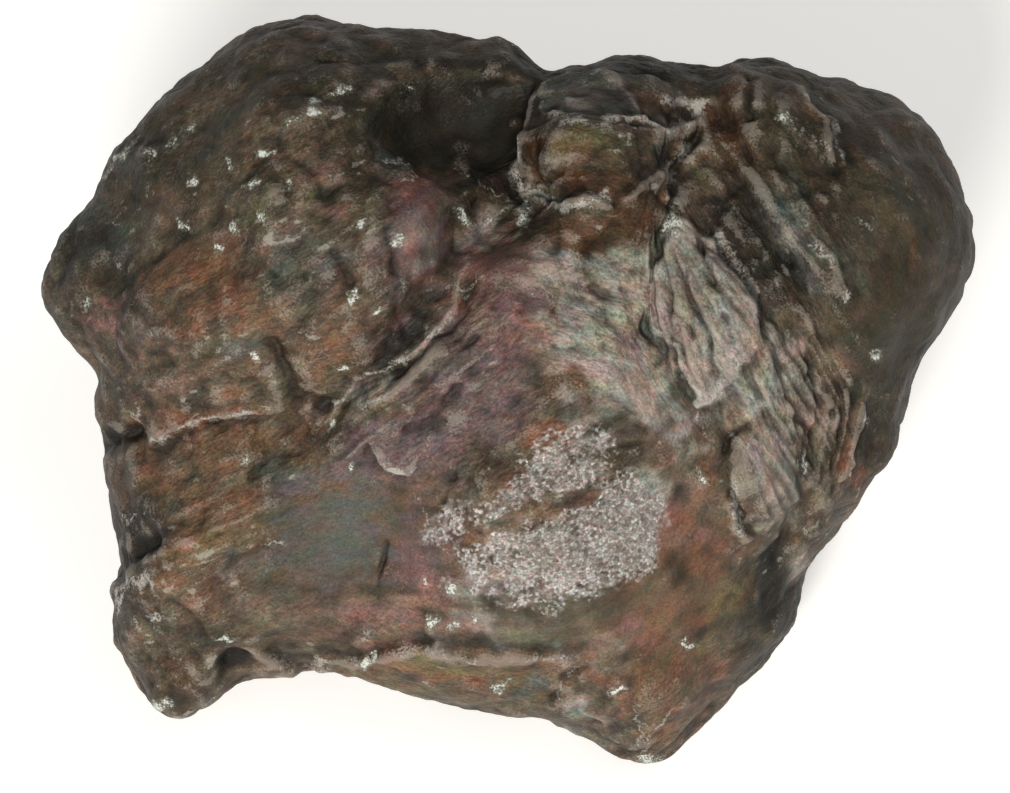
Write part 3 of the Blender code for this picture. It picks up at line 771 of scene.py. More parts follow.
        (0.4, 0.9, [(-53.3, -7.6), (-49.8, -5.6), (-45.3, -4), (-40.2, -3.3), (-36.3, -2.6)]),
        (0.5, 0.8, [(-54.2, -1.8), (-55.3, -3.5), (-54.5, -5.5)]),
        (0.4, 0.8, [(-57.3, -18.6), (-53.7, -17.4)]),
        (0.3, 0.7, [(-38.7, -22.8), (-35, -22.3), (-32.2, -22.3)]),
        (0.25, 0.6, [(-13.8, -14), (-11.7, -18), (-10.2, -21.5), (-9, -24)]),
        (0.7, 0.9, [(-58.2, -32), (-56.7, -29), (-53.2, -26.5), (-51.3, -28.6)]),
        (0.5, 0.7, [(-56, -34), (-52, -32), (-49, -33)]),
        (0.5, 0.8, [(42.8, 46), (48.8, 40.4), (50.3, 35)]),
        (0.4, 0.5, [(44.3, 38), (47, 37), (49, 36)]),
        (0.5, 0.5, [(44.7, 23.4), (48, 19), (52.2, 14)]),
        (0.5, 0.8, [(15, -44.4), (18, -43.3)]),
        (0.3, 0.7, [(19.5, -46.3), (20.5, -49), (21, -53), (21.5, -54.5)]),
        (0.3, 0.6, [(24.8, -46.3), (22.3, -49), (20.5, -51)]),
        (0.35, 0.7, [(7.5, -46.3), (8.5, -43), (11, -40), (14, -38.5)]),
        (0.35, 0.45, [(-41.5, -36.6), (-36.5, -38.8), (-30.8, -39.9), (-25.5, -38.8), (-20.3, -38.8),
                      (-15, -37.3), (-9.8, -36.6), (-4.8, -38.5), (1.8, -38.1), (6.3, -39.2),
                      (10.8, -38.5), (14, -37)]),
        (0.5, 0.9, [(-26.7, -2.1), (-23, -1.3), (-19.2, -1), (-16.8, 1)]),
        (0.5, 0.6, [(-22.2, 2), (-14.3, 7), (-10.2, 10), (-7, 13.5)]),
        (0.35, 0.8, [(53.7, -0.6), (53.9, -5), (52.2, -9.6), (50.2, -13)]),
        (0.6, 0.9, [(33.3, -12), (34, -16.5), (35.3, -19.3), (37, -20.2)]),
        (0.3, 0.8, [(33.8, -5), (35.2, -7), (37, -8.5)]),
        (0.3, 0.7, [(29.3, -1.7), (30.5, -5), (31.8, -7.6)]),
        (0.25, 0.6, [(-9.8, 16.4), (-5.7, 16), (-3.8, 17), (-1.2, 17)]),
        (0.4, 0.6, [(-61, 31), (-60, 34), (-57.5, 36.8), (-54, 39.5)]),
    ],
    # white mineral chips: (right, up, half length, half width, turn, amount)
    "chips": [
        (3.5, 26.5, 1.4, 2.6, 0, 0.9), (-6.5, 27.5, 0.6, 2.4, 20, 0.8), (-2, 25.8, 1.9, 1, 45, 0.9),
        (24.6, 25.6, 1.5, 2, 0, 1.1), (-28.2, 44.4, 1.1, 0.8, 0, 1.1), (-28, 41.7, 1, 1.2, 0, 1),
        (-35.5, 36.6, 1.4, 0.8, 10, 1.1), (-37.2, 32.1, 1.2, 0.9, 30, 1.2),
        (-38.7, 31.4, 1.2, 0.7, 0, 0.9), (-46.5, 32.1, 0.8, 1, 0, 0.8), (-41.2, 35, 0.7, 0.7, 0, 0.8),
        (-47.7, 25.2, 1.3, 0.6, -30, 0.9), (-40.8, 25, 1, 0.8, 0, 0.9), (-35.7, 26.7, 1.1, 0.8, 20, 0.9),
        (-42.7, 21.6, 0.6, 0.6, 0, 0.8), (-32.2, 31.7, 1.1, 0.8, 40, 0.8), (-21.3, 25.2, 1, 0.7, 20, 0.9),
        (-22.8, 14.7, 0.8, 1.4, -20, 1.2), (-19.5, 12.2, 0.6, 0.6, 0, 1.3), (-15.8, 23, 1.3, 1, 0, 0.8),
        (-15, 16.4, 1, 1.3, -30, 0.7), (-26.2, 33.5, 1, 0.5, 0, 0.8), (-57.7, 35.9, 1.4, 0.8, 50, 0.8),
        (-52.5, 35.9, 1.6, 0.7, 50, 0.8), (-47.2, 40.4, 0.7, 1, 0, 0.8), (-49.8, 38, 0.7, 1.2, -20, 0.8),
        (-24.3, 46, 2.6, 0.7, 25, 0.7), (-31.2, 40.4, 2.6, 0.6, 10, 0.6), (-13.5, 46, 1.4, 0.8, -20, 0.6),
        (-63.7, 14, 1.2, 0.8, 0, 0.6), (-24.3, 4.2, 1.2, 0.9, 10, 1.3), (-37.2, 5.4, 1, 0.9, 0, 0.8),
        (-26.2, -4.3, 0.8, 0.7, 0, 1), (-38.2, -9.6, 1, 0.8, 0, 0.8), (-52, 9.5, 1, 0.9, 0, 0.5),
        (-8.7, -29.1, 1, 0.9, 0, 1.3), (-11.2, -34, 0.9, 1.1, 0, 1.1), (-8.2, -34.8, 0.8, 0.6, 0, 1),
        (-12.5, -27.9, 0.6, 0.8, 0, 0.8), (-23.5, -10.6, 0.4, 1, 0, 0.8), (-5.5, -34, 0.5, 1, 10, 0.8),
        (-3.4, -34.6, 0.6, 0.5, 0, 0.7), (28.8, -12.1, 0.8, 1.3, 20, 0.7), (24, -27.3, 0.8, 0.8, 0, 0.7),
        (27, -37, 0.8, 0.7, 0, 0.7), (16.8, -43.8, 1.7, 0.7, 35, 0.9), (-0.7, -42.3, 2.6, 0.7, 15, 0.7),
        (-20.2, -39.1, 1.1, 0.9, 0, 1.2), (-24, -41.4, 1.7, 0.8, 0, 1.1),
        (-51.4, -46.6, 2.2, 1.3, 20, 1.1), (-42, -36.1, 1.4, 0.5, 0, 0.9), (44.7, -10, 0.7, 1.3, 0, 0.8),
        (55.2, 5.9, 1.4, 1.1, 0, 0.8), (21.5, -54.5, 1.8, 1, 0, 1), (41.5, 40.5, 1.3, 0.8, -30, 0.8),
        (-6, 15, 1, 0.6, 0, 0.5), (-46, 6.5, 1, 0.6, 0, 0.4), (-44, -45, 1, 1, 0, 0.5),
        (6.5, -33, 0.8, 0.6, 0, 0.4),
    ],
}

# the tints are laid on in this order
tintNames = ("olive", "brown", "purple", "rose", "rust", "umber", "ochre", "slate", "pale", "shadow")

# how the colours are laid on: sizes are millimetres
laying = {
    "bend": (7.0, 1.5),          # (size, shift) of the wobble laid over the colours
    "mottle": (7.0, 4, 0.55),    # size, layers and strength of the ground's light and dark
    "drawn": (2.2, 2.6, 3.0, 0.45),   # broad strokes: across, stretch, size round the sides, strength
    "fine": (0.9, 2.4, 1.3, 0.38),    # and fine ones
    "cover": 0.85,               # how fully a tint hides what it lies on
    "tintFrom": (0.10, 1.05),    # amount of a tint where it begins, and where it is full
    "fray": (5.5, 3, 0.65, 0.35),     # its edge: size, layers and strength of the noise, strength of strokes
    "hidden": (21.0, 0.8),       # size and amount of the patches on the hidden sides
    "flankShadeFrom": (0.40, 0.95),   # how far round the side the painted shade begins, and where it is full
    "grooveRounds": 6,           # rounds of averaging that a groove is measured against
    "hollowRounds": 44,          # and a hollow
    "clusters": (6.0, 0.35),     # size of the clusters of flecks, and how they favour crumbly ground
    "jagged": (1.9, 2, 0.9),     # size, layers and shift of the edges of crusts and chips
    "crust": (2.4, 0.72, 0.8),   # size, middle and spread of how a crust comes and goes
    "chips": (1.4, 0.78, 0.6),
    "speckle": (3.2, 2),         # size and layers of the noise in the bright patch
    "patchFrom": (0.20, 0.85),   # amount of bright grain where it begins, and where it is full
    "grainEdge": 0.40,           # how much of its own colour a grain keeps at its edge
}

# the four ways that fine strokes can run, in degrees on the sheet
strokeWays = {"wayFalling": -60, "wayLevel": -15, "wayRising": 30, "waySteep": 75}


def pathAmount(sheet, paths):
    total = np.zeros(len(sheet))
    for width, amount, path in paths:
        near, gap, side, walked = pathReach(sheet, path, 3 * width)
        total[near] = np.maximum(total[near], amount * np.exp(-(gap / width) ** 2) * taper(walked))
    return total


def storeMask(mesh, name, values):
    layer = mesh.attributes.new(name, "FLOAT", "POINT")
    layer.data.foreach_set("value", np.clip(values, 0, 1).astype(np.float32))


def storeColour(mesh, name, values):
    layer = mesh.attributes.new(name, "FLOAT_COLOR", "POINT")
    full = np.concatenate([values, np.ones((len(values), 1))], axis=1)
    layer.data.foreach_set("color", full.astype(np.float32).ravel())


def painted(colour):
    share = np.array(colour) / 255
    return np.where(share > 0.04045, ((share + 0.055) / 1.055) ** 2.4, share / 12.92)


def blended(base, colour, share):
    return base + (colour - base) * share[:, None]


# colours and masks laid over the finished stone
def colourStone(piece, ground):
    mesh = piece.data
    points, normals = pointsOf(mesh), normalsOf(mesh)
    places = points / mm
    sheet, face, calm = ground["sheet"], ground["face"], ground["calm"]
    bendSize, bendShift = laying["bend"]
    bent = places + bendShift * noiseShift(places / bendSize, 105)
    across, stretch, plain, drawnShade = laying["drawn"]
    drawn = grainNoise(ground, places, bent, across, stretch, 110, plain, 117)
    across, stretch, plain, fineShade = laying["fine"]
    fine = grainNoise(ground, places, bent, across, stretch, 120, plain, 127)

    size, layers, strength = laying["mottle"]
    shade = np.clip(0.5 + strength * layeredNoise(bent, size, layers, 100) + drawnShade * drawn, 0, 1)
    tint = blended(painted(colours["groundDark"]), painted(colours["ground"]), np.clip(shade * 2, 0, 1))
    tint = blended(tint, painted(colours["groundLight"]), np.clip(shade * 2 - 1, 0, 1))
    for number, name in enumerate(tintNames):
        tint = blended(tint, painted(colours[name][0]), tintShare(number, name, ground, places, bent, drawn))

    # small strokes that lean red or green, and blue or yellow
    for number, (size, lean) in enumerate(colours["leanings"]):
        seed = 200 + 10 * number
        leaning = grainNoise(ground, places, bent, size, 2.2, seed, 1.5 * size, seed + 6)
        tint *= 1 + np.clip(leaning, -0.8, 0.8)[:, None] * np.array(lean)
    tint *= (1 + fineShade * np.clip(fine + 0.5 * drawn, -1, 1) * (1 - 0.6 * calm))[:, None]
    # painted shade: the colour is darkened where the stone faces sideways or up the face, on its flanks and
    # top
    flank = np.maximum(np.abs(normals[:, 0]), normals @ np.array(upTheFace))
    paintedSideShade = 1 - (1 - colours["paintedSideShade"]) * smoothStep(*laying["flankShadeFrom"], flank)
    tint *= np.array(colours["depth"]) * paintedSideShade[:, None]

    # the crevice amount is painted shade that darkens grooves and hollows in the material; the wear is the
    # worn edges
    creviceShade, wear = groovesAndEdges(ground["height"], edgesOf(mesh))
    size, favour = laying["clusters"]
    cluster = smoothStep(0.0, 0.6, latticeNoise(places / size, 150) + favour * ground["crumbly"])
    flecked = fine + 0.35 * wear + 0.1 * latticeNoise(places / 0.6, 151)
    fleck = cluster * (1 - 0.8 * calm) * smoothStep(0.30, 0.62, flecked)

    size, layers, shift = laying["jagged"]
    frayed = [layeredNoise(places, size, layers, seed) for seed in (155, 158)]
    jagged = sheet + shift * np.stack(frayed, axis=1)
    crust = pathAmount(jagged, colours["crusts"]) * face * comingAndGoing(places, "crust", 160)
    chips = spotAmount(jagged, colours["chips"]) * face * comingAndGoing(places, "chips", 170)

    uneven = layeredNoise(places, *laying["speckle"], 175)
    standing, number, edge = grainCells(ground["flat"], stone["crystalSize"], 7)
    strewn = 0.55 * (number - 0.5) + 0.40 * drawn + 0.25 * fine + 0.50 * uneven
    bright = crystalAmount(sheet, face)
    crystal = smoothStep(*laying["patchFrom"], bright + strewn * smoothStep(0.05, 0.30, bright))
    sparkling = np.clip(number ** 1.7 + 0.4 * uneven, 0, 1)
    grains = blended(painted(colours["grainDark"]), painted(colours["grainBright"]), sparkling)
    kept = laying["grainEdge"]
    grains = blended(painted(colours["grainEdge"]), grains, kept + (1 - kept) * edge)
    storeColour(mesh, "tint", blended(tint, grains, laying["cover"] * crystal))

    masks = {"crystal": crystal, "fleck": fleck, "crust": crust, "chips": chips}
    masks.update({"creviceShade": creviceShade, "wear": wear, "calm": calm})
    for name, angle in strokeWays.items():
        masks[name] = np.cos(2 * (ground["way"] - math.radians(angle)))
    for name, values in masks.items():
        storeMask(mesh, name, values)
    print("stone: colours laid over", len(points), "points")


# how much of a tint each place takes
def tintShare(number, name, ground, places, bent, drawn):
    face = ground["face"]
    amount = spotAmount(ground["sheet"], colours[name][1]) * face
    for plate, share in colours["paintedPlates"].get(name, ()):
        amount += share * plateAmount(ground["sheet"], stone["plates"][plate][2], 0.8) * face
    if name in colours["hiddenTints"]:
        size, most = laying["hidden"]
        elsewhere = smoothStep(-0.05, 0.5, latticeNoise(places / size + 5.3 * number, 140 + number))
        amount = amount + most * elsewhere * (1 - face)
    size, layers, noisy, stroked = laying["fray"]
    wave = layeredNoise(bent + 9.1 * number, size, layers, 130 + number)
    frayed = amount + (noisy * wave + stroked * drawn) * smoothStep(0, 0.3, amount)
    return laying["cover"] * smoothStep(*laying["tintFrom"], frayed)


# how deep in a groove or hollow each place is, for the painted shade there, and how far out on a worn edge
def groovesAndEdges(height, edges):
    near = averaged(height, edges, laying["grooveRounds"])
    wide = averaged(near, edges, laying["hollowRounds"]) - near
    bend = near - height
    bend, wide = [depth / np.percentile(np.abs(depth), 95) for depth in (bend, wide)]
    creviceShade = np.clip(0.25 * np.clip(bend, 0, 1.5) + 0.7 * np.clip(wide, 0, 1.8), 0, 1)
    wear = np.clip(0.35 * np.clip(-bend, 0, 1.5) + 0.5 * np.clip(-wide, 0, 1.5), 0, 1)
    return creviceShade, wear


def comingAndGoing(places, name, seed):
    size, middle, spread = laying[name]
    return middle + spread * latticeNoise(places / size, seed)


# makes a node, and links or sets its inputs
def newNode(tree, kind, inputs=None, **settings):
    node = tree.nodes.new(kind)
    for name, value in settings.items():
        setattr(node, name, value)
    for name, value in (inputs or {}).items():
        if isinstance(value, bpy.types.NodeSocket):
            tree.links.new(value, node.inputs[name])
        else:
            node.inputs[name].default_value = value
    return node


def maths(tree, operation, first, second=0.0, third=0.0, clamp=False):
    sockets = {0: first, 1: second, 2: third}
    return newNode(tree, "ShaderNodeMath", sockets, operation=operation, use_clamp=clamp).outputs[0]


def vectorMaths(tree, operation, sockets):
    return newNode(tree, "ShaderNodeVectorMath", sockets, operation=operation).outputs[0]


def noiseIn(tree, place, scale, detail, roughness=0.5, distortion=0.0):
    sockets = {"Vector": place, "Scale": scale, "Detail": detail, "Roughness": roughness}
    return newNode(tree, "ShaderNodeTexNoise", {**sockets, "Distortion": distortion}).outputs


def mixed(tree, share, first, second, blend="MIX"):
    node = newNode(tree, "ShaderNodeMix", data_type="RGBA", blend_type=blend)
    for index, value in ((0, share), (6, first), (7, second)):
        if isinstance(value, bpy.types.NodeSocket):
            tree.links.new(value, node.inputs[index])
        elif index:
            node.inputs[index].default_value = (*[float(part) for part in value], 1.0)
        else:
            node.inputs[index].default_value = value
    return node.outputs[2]


def ranged(tree, value, low, high, toLow=0.0, toHigh=1.0):
    sockets = {"Value": value, "From Min": low, "From Max": high, "To Min": toLow, "To Max": toHigh}
    return newNode(tree, "ShaderNodeMapRange", sockets, interpolation_type="SMOOTHSTEP").outputs[0]


def mask(tree, name):
    return newNode(tree, "ShaderNodeAttribute", attribute_name=name).outputs["Fac"]


def newGroup(name, inputs, outputs):
    tree = bpy.data.node_groups.new(name, "ShaderNodeTree")
    for socket, kind, value in inputs:
        made = tree.interface.new_socket(socket, in_out="INPUT", socket_type=kind)
        if value is not None:
            made.default_value = value
    for socket in outputs:
        tree.interface.new_socket(socket, in_out="OUTPUT", socket_type="NodeSocketFloat")
    return tree, tree.nodes.new("NodeGroupInput").outputs, tree.nodes.new("NodeGroupOutput").inputs


# the noises that the fine grain is made of: (scale, detail, roughness)
grain = {
    "broad": (0.45, 4.0, 0.62),
    "fine": (1.9, 5.0, 0.68),
    "pits": 1.5,             # to a grain's size
    "pitDepth": 0.35,
    "rise": 0.8,
    "spread": (0.30, 0.70),  # of the fine noise, stretched to run from 0 to 1
}


# fine grain in the stone, from object space: sizes are in millimetres
def makeGrainGroup():
    tree, given, result = newGroup(
        "stoneGrain",
        [("Size", "NodeSocketFloat", 1.0), ("Contrast", "NodeSocketFloat", 1.0)],
        ["Mottle", "Grain", "Height"],
    )
    place = newNode(tree, "ShaderNodeTexCoord").outputs["Object"]
    perMillimetre = maths(tree, "DIVIDE", 1 / mm, given["Size"])
    scaled = vectorMaths(tree, "SCALE", {0: place, "Scale": perMillimetre})
    broad, fine = noiseIn(tree, scaled, *grain["broad"])[0], noiseIn(tree, scaled, *grain["fine"])[0]
    cells = newNode(tree, "ShaderNodeTexVoronoi", {"Vector": scaled, "Scale": grain["pits"]}).outputs
    middle = maths(tree, "SUBTRACT", broad, 0.5)
    tree.links.new(maths(tree, "MULTIPLY_ADD", middle, given["Contrast"], 0.5), result["Mottle"])
    tree.links.new(ranged(tree, fine, *grain["spread"]), result["Grain"])
    pits = maths(tree, "MULTIPLY", cells["Distance"], -grain["pitDepth"])
    tree.links.new(maths(tree, "MULTIPLY_ADD", fine, grain["rise"], pits), result["Height"])
    return tree


# turns a soft amount into a ragged edge, eaten into by the grain
def makeRaggedGroup():
    tree, given, result = newGroup(
        "raggedEdge",
        [(name, "NodeSocketFloat", 0.5) for name in ("Amount", "Grain", "Bite", "Softness")],
        ["Mask"],
    )
    bite = maths(tree, "MULTIPLY", maths(tree, "SUBTRACT", given["Grain"], 0.5), given["Bite"])
    bite = maths(tree, "MULTIPLY", bite, ranged(tree, given["Amount"], 0.05, 0.40))
    eaten = maths(tree, "ADD", given["Amount"], bite)
    low = maths(tree, "SUBTRACT", 0.5, given["Softness"])
    high = maths(tree, "ADD", 0.5, given["Softness"])
    tree.links.new(ranged(tree, eaten, low, high), result["Mask"])
    return tree


# fine strokes drawn out along the stone's grain: four shares say how much of each way is used
def makeStrokeGroup():
    tree, given, result = newGroup(
        "grainStrokes",
        [("Size", "NodeSocketFloat", 0.5), ("Stretch", "NodeSocketFloat", 4.0),
         *[(name, "NodeSocketFloat", 0.0) for name in strokeWays]],
        ["Shade", "Lean", "Line"],
    )
    place = newNode(tree, "ShaderNodeTexCoord").outputs["Object"]
    short = maths(tree, "MULTIPLY", given["Size"], mm)
    long = maths(tree, "MULTIPLY", short, given["Stretch"])
    size = newNode(tree, "ShaderNodeCombineXYZ", {"X": long, "Y": short, "Z": short}).outputs[0]
    total = None
    for name, angle in strokeWays.items():
        along = Vector((1, 0, 0)) * math.cos(math.radians(angle)) + upTheFace * math.sin(math.radians(angle))
        across = towardsViewer.cross(along)
        turn = Matrix((along, across, towardsViewer)).transposed().to_euler()
        sockets = {"Vector": place, "Scale": size, "Rotation": turn}
        turned = newNode(tree, "ShaderNodeMapping", sockets, vector_type="TEXTURE").outputs[0]
        noise = noiseIn(tree, turned, 1.0, 2.0, distortion=0.3)["Color"]
        centred = vectorMaths(tree, "SUBTRACT", {0: noise, 1: (0.5, 0.5, 0.5)})
        part = vectorMaths(tree, "SCALE", {0: centred, "Scale": given[name]})
        total = part if total is None else vectorMaths(tree, "ADD", {0: total, 1: part})
    split = newNode(tree, "ShaderNodeSeparateXYZ", {"Vector": total}).outputs
    for name, value in zip(("Shade", "Lean", "Line"), split):
        tree.links.new(value, result[name])
    return tree


grainGroup = makeGrainGroup()
strokeGroup = makeStrokeGroup()
raggedGroup = makeRaggedGroup()


def groupIn(tree, group, inputs):
    return newNode(tree, "ShaderNodeGroup", inputs, node_tree=group).outputs


def strokesIn(tree, size, stretch):
    shares = {name: mask(tree, name) for name in strokeWays}
    return groupIn(tree, strokeGroup, {"Size": size, "Stretch": stretch, **shares})


stoneFinish = {
    "grains": ((3.0, 1.2), (0.7, 1.0)),   # (size in mm, contrast) of the wide and of the close grain
    # what each effect does to the colour's red, green and blue: (at its least, at its most)
    "mottleTints": ((0.72, 0.71, 0.70), (1.28, 1.27, 1.26)),
    "grainTints": ((0.54, 0.53, 0.53), (1, 1, 1)),
    "leanTints": ((0.90, 1.04, 0.96), (1.14, 0.94, 0.92)),
    "strokeTints": ((0.74, 0.73, 0.72), (1.32, 1.32, 1.31)),
    "lineTints": ((1, 1, 1), (0.35, 0.33, 0.32)),
    "calmDetail": 0.30,      # share of the fine detail that is left where the ground is calm
    "strokes": (0.42, 2.8),  # width in mm, stretch
    "leanRange": 0.16,
    "shadeRange": 0.18,
    "lineWidth": 0.022,
    "paleLine": (0.05, 0.50, 0.25),   # level that it is drawn at, strength, height
    "darkLine": (-0.06, 0.40, -0.30),
    "linePatches": (0.46, 0.66),      # mottle where pale lines begin, and where they are full
    "creviceDark": 0.62,     # painted shade: share of the colour that a deep groove or hollow loses
    # laid on the colour: (mask, times, bite, softness, cover, colour)
    "underGrooves": [
        ("wear", 1.0, 0.7, 0.35, 0.35, "wornEdge"), ("fleck", 1.0, 0.9, 0.30, 0.60, "fleck"),
        ("crust", 1.0, 0.9, 0.38, 0.80, "crust"),
    ],
    "overGrooves": [("chips", 1.3, 0.9, 0.40, 0.75, "halo"), ("chips", 0.72, 0.8, 0.22, 0.90, "chip")],
    "roughness": (0.48, 0.68),
    "crystalShine": 0.18,    # taken from the roughness on the bright grains
    "crustDull": 0.15,       # added to it on the crusts
    "specular": 0.24,
    "closeBump": 0.45,
    "strokeBump": 1.6,
    "bump": 0.5,
    "bumpDepth": 0.00030,    # metres
}


# the colour times one tint or another, by a share
def tinted(tree, share, colour, tints):
    low, high = [mixed(tree, 1.0, colour, tint, "MULTIPLY") for tint in tints]
    return mixed(tree, share, low, high)


# thin lines where a noise crosses a level
def linesAt(tree, value, level, amount):
    off = maths(tree, "ABSOLUTE", maths(tree, "SUBTRACT", value, level))
    return maths(tree, "MULTIPLY", ranged(tree, off, 0.0, stoneFinish["lineWidth"], 1.0, 0.0), amount)


def laidOn(tree, colour, grainy, layers):
    for name, times, bite, softness, cover, tint in layers:
        amount = maths(tree, "MULTIPLY", mask(tree, name), times)
        ragged = {"Amount": amount, "Grain": grainy, "Bite": bite, "Softness": softness}
        share = maths(tree, "MULTIPLY", groupIn(tree, raggedGroup, ragged)["Mask"], cover)
        colour = mixed(tree, share, colour, painted(colours[tint]))
    return colour


def stoneMaterial():
    material = bpy.data.materials.new("weatheredStone")
    material.use_nodes = True
    tree = material.node_tree
    shader = tree.nodes["Principled BSDF"]
    wide, close = [groupIn(tree, grainGroup, {"Size": size, "Contrast": contrast})
                   for size, contrast in stoneFinish["grains"]]
    busy = ranged(tree, mask(tree, "calm"), 0.0, 1.0, 1.0, stoneFinish["calmDetail"])
    strokes = strokesIn(tree, *stoneFinish["strokes"])

    colour = newNode(tree, "ShaderNodeAttribute", attribute_name="tint").outputs["Color"]
    colour = tinted(tree, wide["Mottle"], colour, stoneFinish["mottleTints"])
    colour = tinted(tree, close["Grain"], colour, stoneFinish["grainTints"])
    for name, tints, reach in (("Lean", "leanTints", "leanRange"), ("Shade", "strokeTints", "shadeRange")):
        share = ranged(tree, strokes[name], -stoneFinish[reach], stoneFinish[reach])
        colour = mixed(tree, busy, colour, tinted(tree, share, colour, stoneFinish[tints]))

    level, darkShare, darkHeight = stoneFinish["darkLine"]
    darkLines = linesAt(tree, strokes["Line"], level, busy)
    colour = tinted(tree, maths(tree, "MULTIPLY", darkLines, darkShare), colour, stoneFinish["lineTints"])
    level, paleShare, paleHeight = stoneFinish["paleLine"]
    patches = maths(tree, "MULTIPLY", ranged(tree, wide["Mottle"], *stoneFinish["linePatches"]), busy)
    paleLines = linesAt(tree, strokes["Line"], level, patches)
    colour = mixed(tree, maths(tree, "MULTIPLY", paleLines, paleShare), colour, painted(colours["fleck"]))

    colour = laidOn(tree, colour, close["Grain"], stoneFinish["underGrooves"])
    # painted shade: the colour is darkened in grooves and hollows
    creviceShade = ranged(tree, mask(tree, "creviceShade"), 0.0, 1.0, 1.0, 1 - stoneFinish["creviceDark"])
    colour = mixed(tree, 1.0, colour, creviceShade, "MULTIPLY")
    colour = laidOn(tree, colour, close["Grain"], stoneFinish["overGrooves"])
    tree.links.new(colour, shader.inputs["Base Color"])

    rough = ranged(tree, wide["Mottle"], 0.2, 0.8, *stoneFinish["roughness"])
    rough = maths(tree, "MULTIPLY_ADD", mask(tree, "crystal"), -stoneFinish["crystalShine"], rough)
    rough = maths(tree, "MULTIPLY_ADD", mask(tree, "crust"), stoneFinish["crustDull"], rough, clamp=True)
    tree.links.new(rough, shader.inputs["Roughness"])
    shader.inputs["Specular IOR Level"].default_value = stoneFinish["specular"]

    height = maths(tree, "MULTIPLY_ADD", close["Height"], stoneFinish["closeBump"], wide["Height"])
    height = maths(tree, "MULTIPLY", height, busy)
    drawn = maths(tree, "MULTIPLY", strokes["Shade"], busy)
    for lines, high in ((drawn, stoneFinish["strokeBump"]), (paleLines, paleHeight), (darkLines, darkHeight)):
        height = maths(tree, "MULTIPLY_ADD", lines, high, height)
    sockets = {"Height": height, "Strength": stoneFinish["bump"], "Distance": stoneFinish["bumpDepth"]}
    tree.links.new(newNode(tree, "ShaderNodeBump", sockets).outputs[0], shader.inputs["Normal"])
    return material


# how the stone's six sides are laid out in a square for baking, the broad face largest
bakeLayout = {
    "mapName": "OFBake",
    "strip": 0.36,           # height of the strip along the bottom that the hidden sides share
    "gap": 0.006,
    "faceFavour": 0.30,      # how readily a steep stretch is laid with the broad face
}


def layOutForBaking(mesh):
    axes = np.array([(1, 0, 0), upTheFace, towardsViewer])
    places = pointsOf(mesh) @ axes.T
    places -= places.min(axis=0)
    right, up, out = places.max(axis=0)
    strip, gap = bakeLayout["strip"], bakeLayout["gap"]
    small = min((strip - gap) / max(right, up), (1 - 5 * gap) / (right + 3 * out))
    big = (1 - strip - 2 * gap) / up
    start = gap + small * right + gap
    step = small * out + gap
    # (axis it faces, which end, axis laid sideways, axis laid upright, left edge, bottom edge, scale)
    sides = [
        (2, 1, 0, 1, gap, strip + gap, big), (2, -1, 0, 1, gap, gap, small),
        (0, 1, 2, 1, start, gap, small), (0, -1, 2, 1, start + step, gap, small),
        (1, 1, 2, 0, start + 2 * step, gap, small), (1, -1, 2, 0, 1 - step, strip + gap, small),
    ]
    facing = rowsOf(mesh.polygons, "normal", 3) @ axes.T
    shares = [facing[:, side[0]] * side[1] for side in sides]
    shares[0] += bakeLayout["faceFavour"]
    sizes = rowsOf(mesh.polygons, "loop_total", 1, np.int32)[:, 0]
    picked = np.repeat(np.argmax(shares, axis=0), sizes)
    corner = rowsOf(mesh.loops, "vertex_index", 1, np.int32)[:, 0]
    laid = np.empty((len(corner), 2))
    for number, (_, _, sideways, upright, left, bottom, scale) in enumerate(sides):
        here = picked == number
        laid[here] = places[corner[here]][:, (sideways, upright)] * scale + (left, bottom)
    layer = mesh.uv_layers.new(name=bakeLayout["mapName"])
    layer.uv.foreach_set("vector", laid.astype(np.float32).ravel())
    print("stone: laid out for baking, furthest", round(float(laid.max()), 3))


stonePiece, stoneGround = buildStone()
colourStone(stonePiece, stoneGround)
layOutForBaking(stonePiece.data)
stonePiece.data.shade_smooth()
stonePiece.data.materials.clear()
stonePiece.data.materials.append(stoneMaterial())
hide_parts(nodeName)
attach(stonePiece, "root")


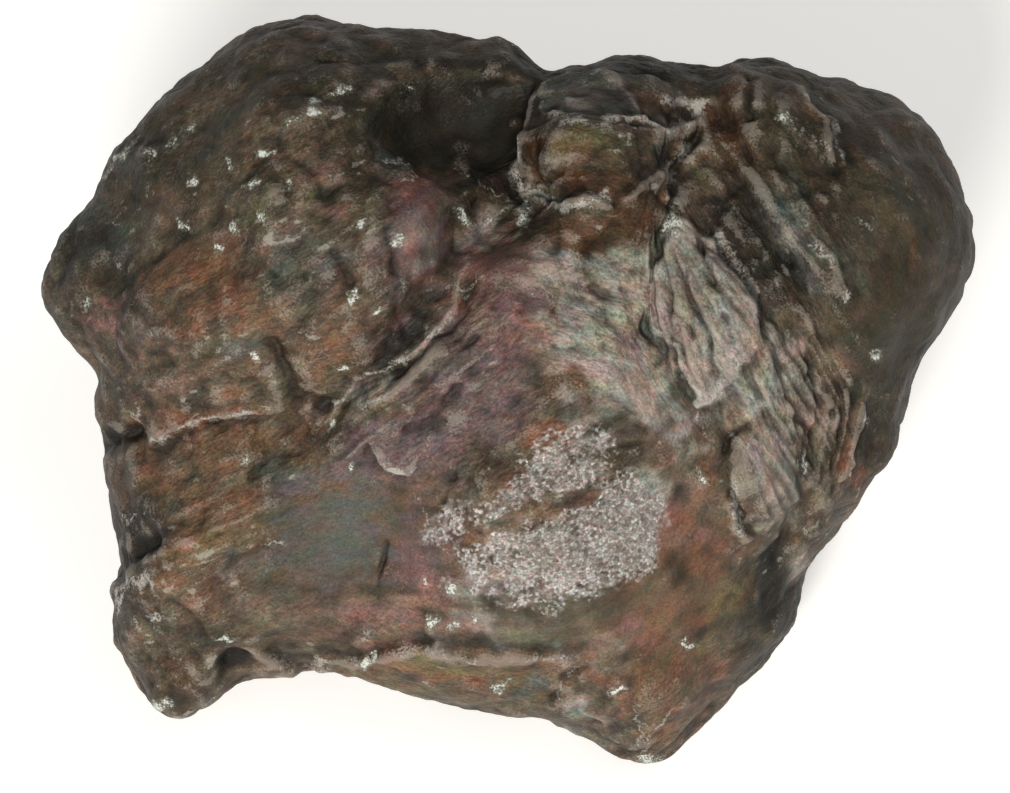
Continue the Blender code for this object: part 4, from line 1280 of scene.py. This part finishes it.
# floor, light and camera
studio = {
    "floorSize": 3.0,
    "floorColour": (0.86, 0.86, 0.855),
    "floorRoughness": 0.8,
    "skyColour": (1.0, 0.985, 0.95),
    "lampColour": (1.0, 0.96, 0.89),
    "floorGlow": 0.34,
    "skyStrength": 0.30,
    # lamps: (name, place from the stone in metres, size, watts)
    "lamps": [
        ("keyLamp", (-0.20, -0.85, 0.60), 0.32, 11.0),
        ("softLamp", (0.45, 0.10, 0.95), 0.8, 2.5),
    ],
}


def addStudio():
    floorMesh = bpy.data.meshes.new("floor")
    half = studio["floorSize"] / 2
    corners = [(right * half, back * half, boxLow.z) for right, back in ((-1, -1), (1, -1), (1, 1), (-1, 1))]
    floorMesh.from_pydata(corners, [], [(0, 1, 2, 3)])
    floor = bpy.data.objects.new("floor", floorMesh)
    bpy.context.scene.collection.objects.link(floor)
    paint = bpy.data.materials.new("paleFloor")
    paint.use_nodes = True
    sockets = paint.node_tree.nodes["Principled BSDF"].inputs
    sockets["Base Color"].default_value = (*studio["floorColour"], 1)
    sockets["Roughness"].default_value = studio["floorRoughness"]
    sockets["Emission Color"].default_value = (1, 1, 1, 1)
    sockets["Emission Strength"].default_value = studio["floorGlow"]
    floorMesh.materials.append(paint)

    world = bpy.data.worlds.new("studioSky")
    world.use_nodes = True
    sky = world.node_tree.nodes["Background"]
    sky.inputs["Color"].default_value = (*studio["skyColour"], 1)
    sky.inputs["Strength"].default_value = studio["skyStrength"]
    bpy.context.scene.world = world

    for name, place, size, watts in studio["lamps"]:
        lamp = bpy.data.objects.new(name, bpy.data.lights.new(name, "AREA"))
        lamp.data.shape = "DISK"
        lamp.data.size = size
        lamp.data.energy = watts
        lamp.data.color = studio["lampColour"]
        lamp.location = viewMiddle + Vector(place)
        lamp.rotation_euler = (-Vector(place)).to_track_quat("-Z", "Y").to_euler()
        bpy.context.scene.collection.objects.link(lamp)


def addCamera():
    camera = bpy.data.objects.new("camera", bpy.data.cameras.new("camera"))
    camera.data.lens = view["lens"]
    camera.data.sensor_width = view["sensor"]
    camera.data.clip_end = view["farthest"]
    camera.location = viewMiddle + towardsViewer * view["distance"]
    camera.rotation_euler = (-towardsViewer).to_track_quat("-Z", "Y").to_euler()
    bpy.context.scene.collection.objects.link(camera)
    bpy.context.scene.camera = camera


addStudio()
addCamera()
bpy.context.scene.view_settings.view_transform = "Standard"
print("studio: floor, lamps and camera placed")
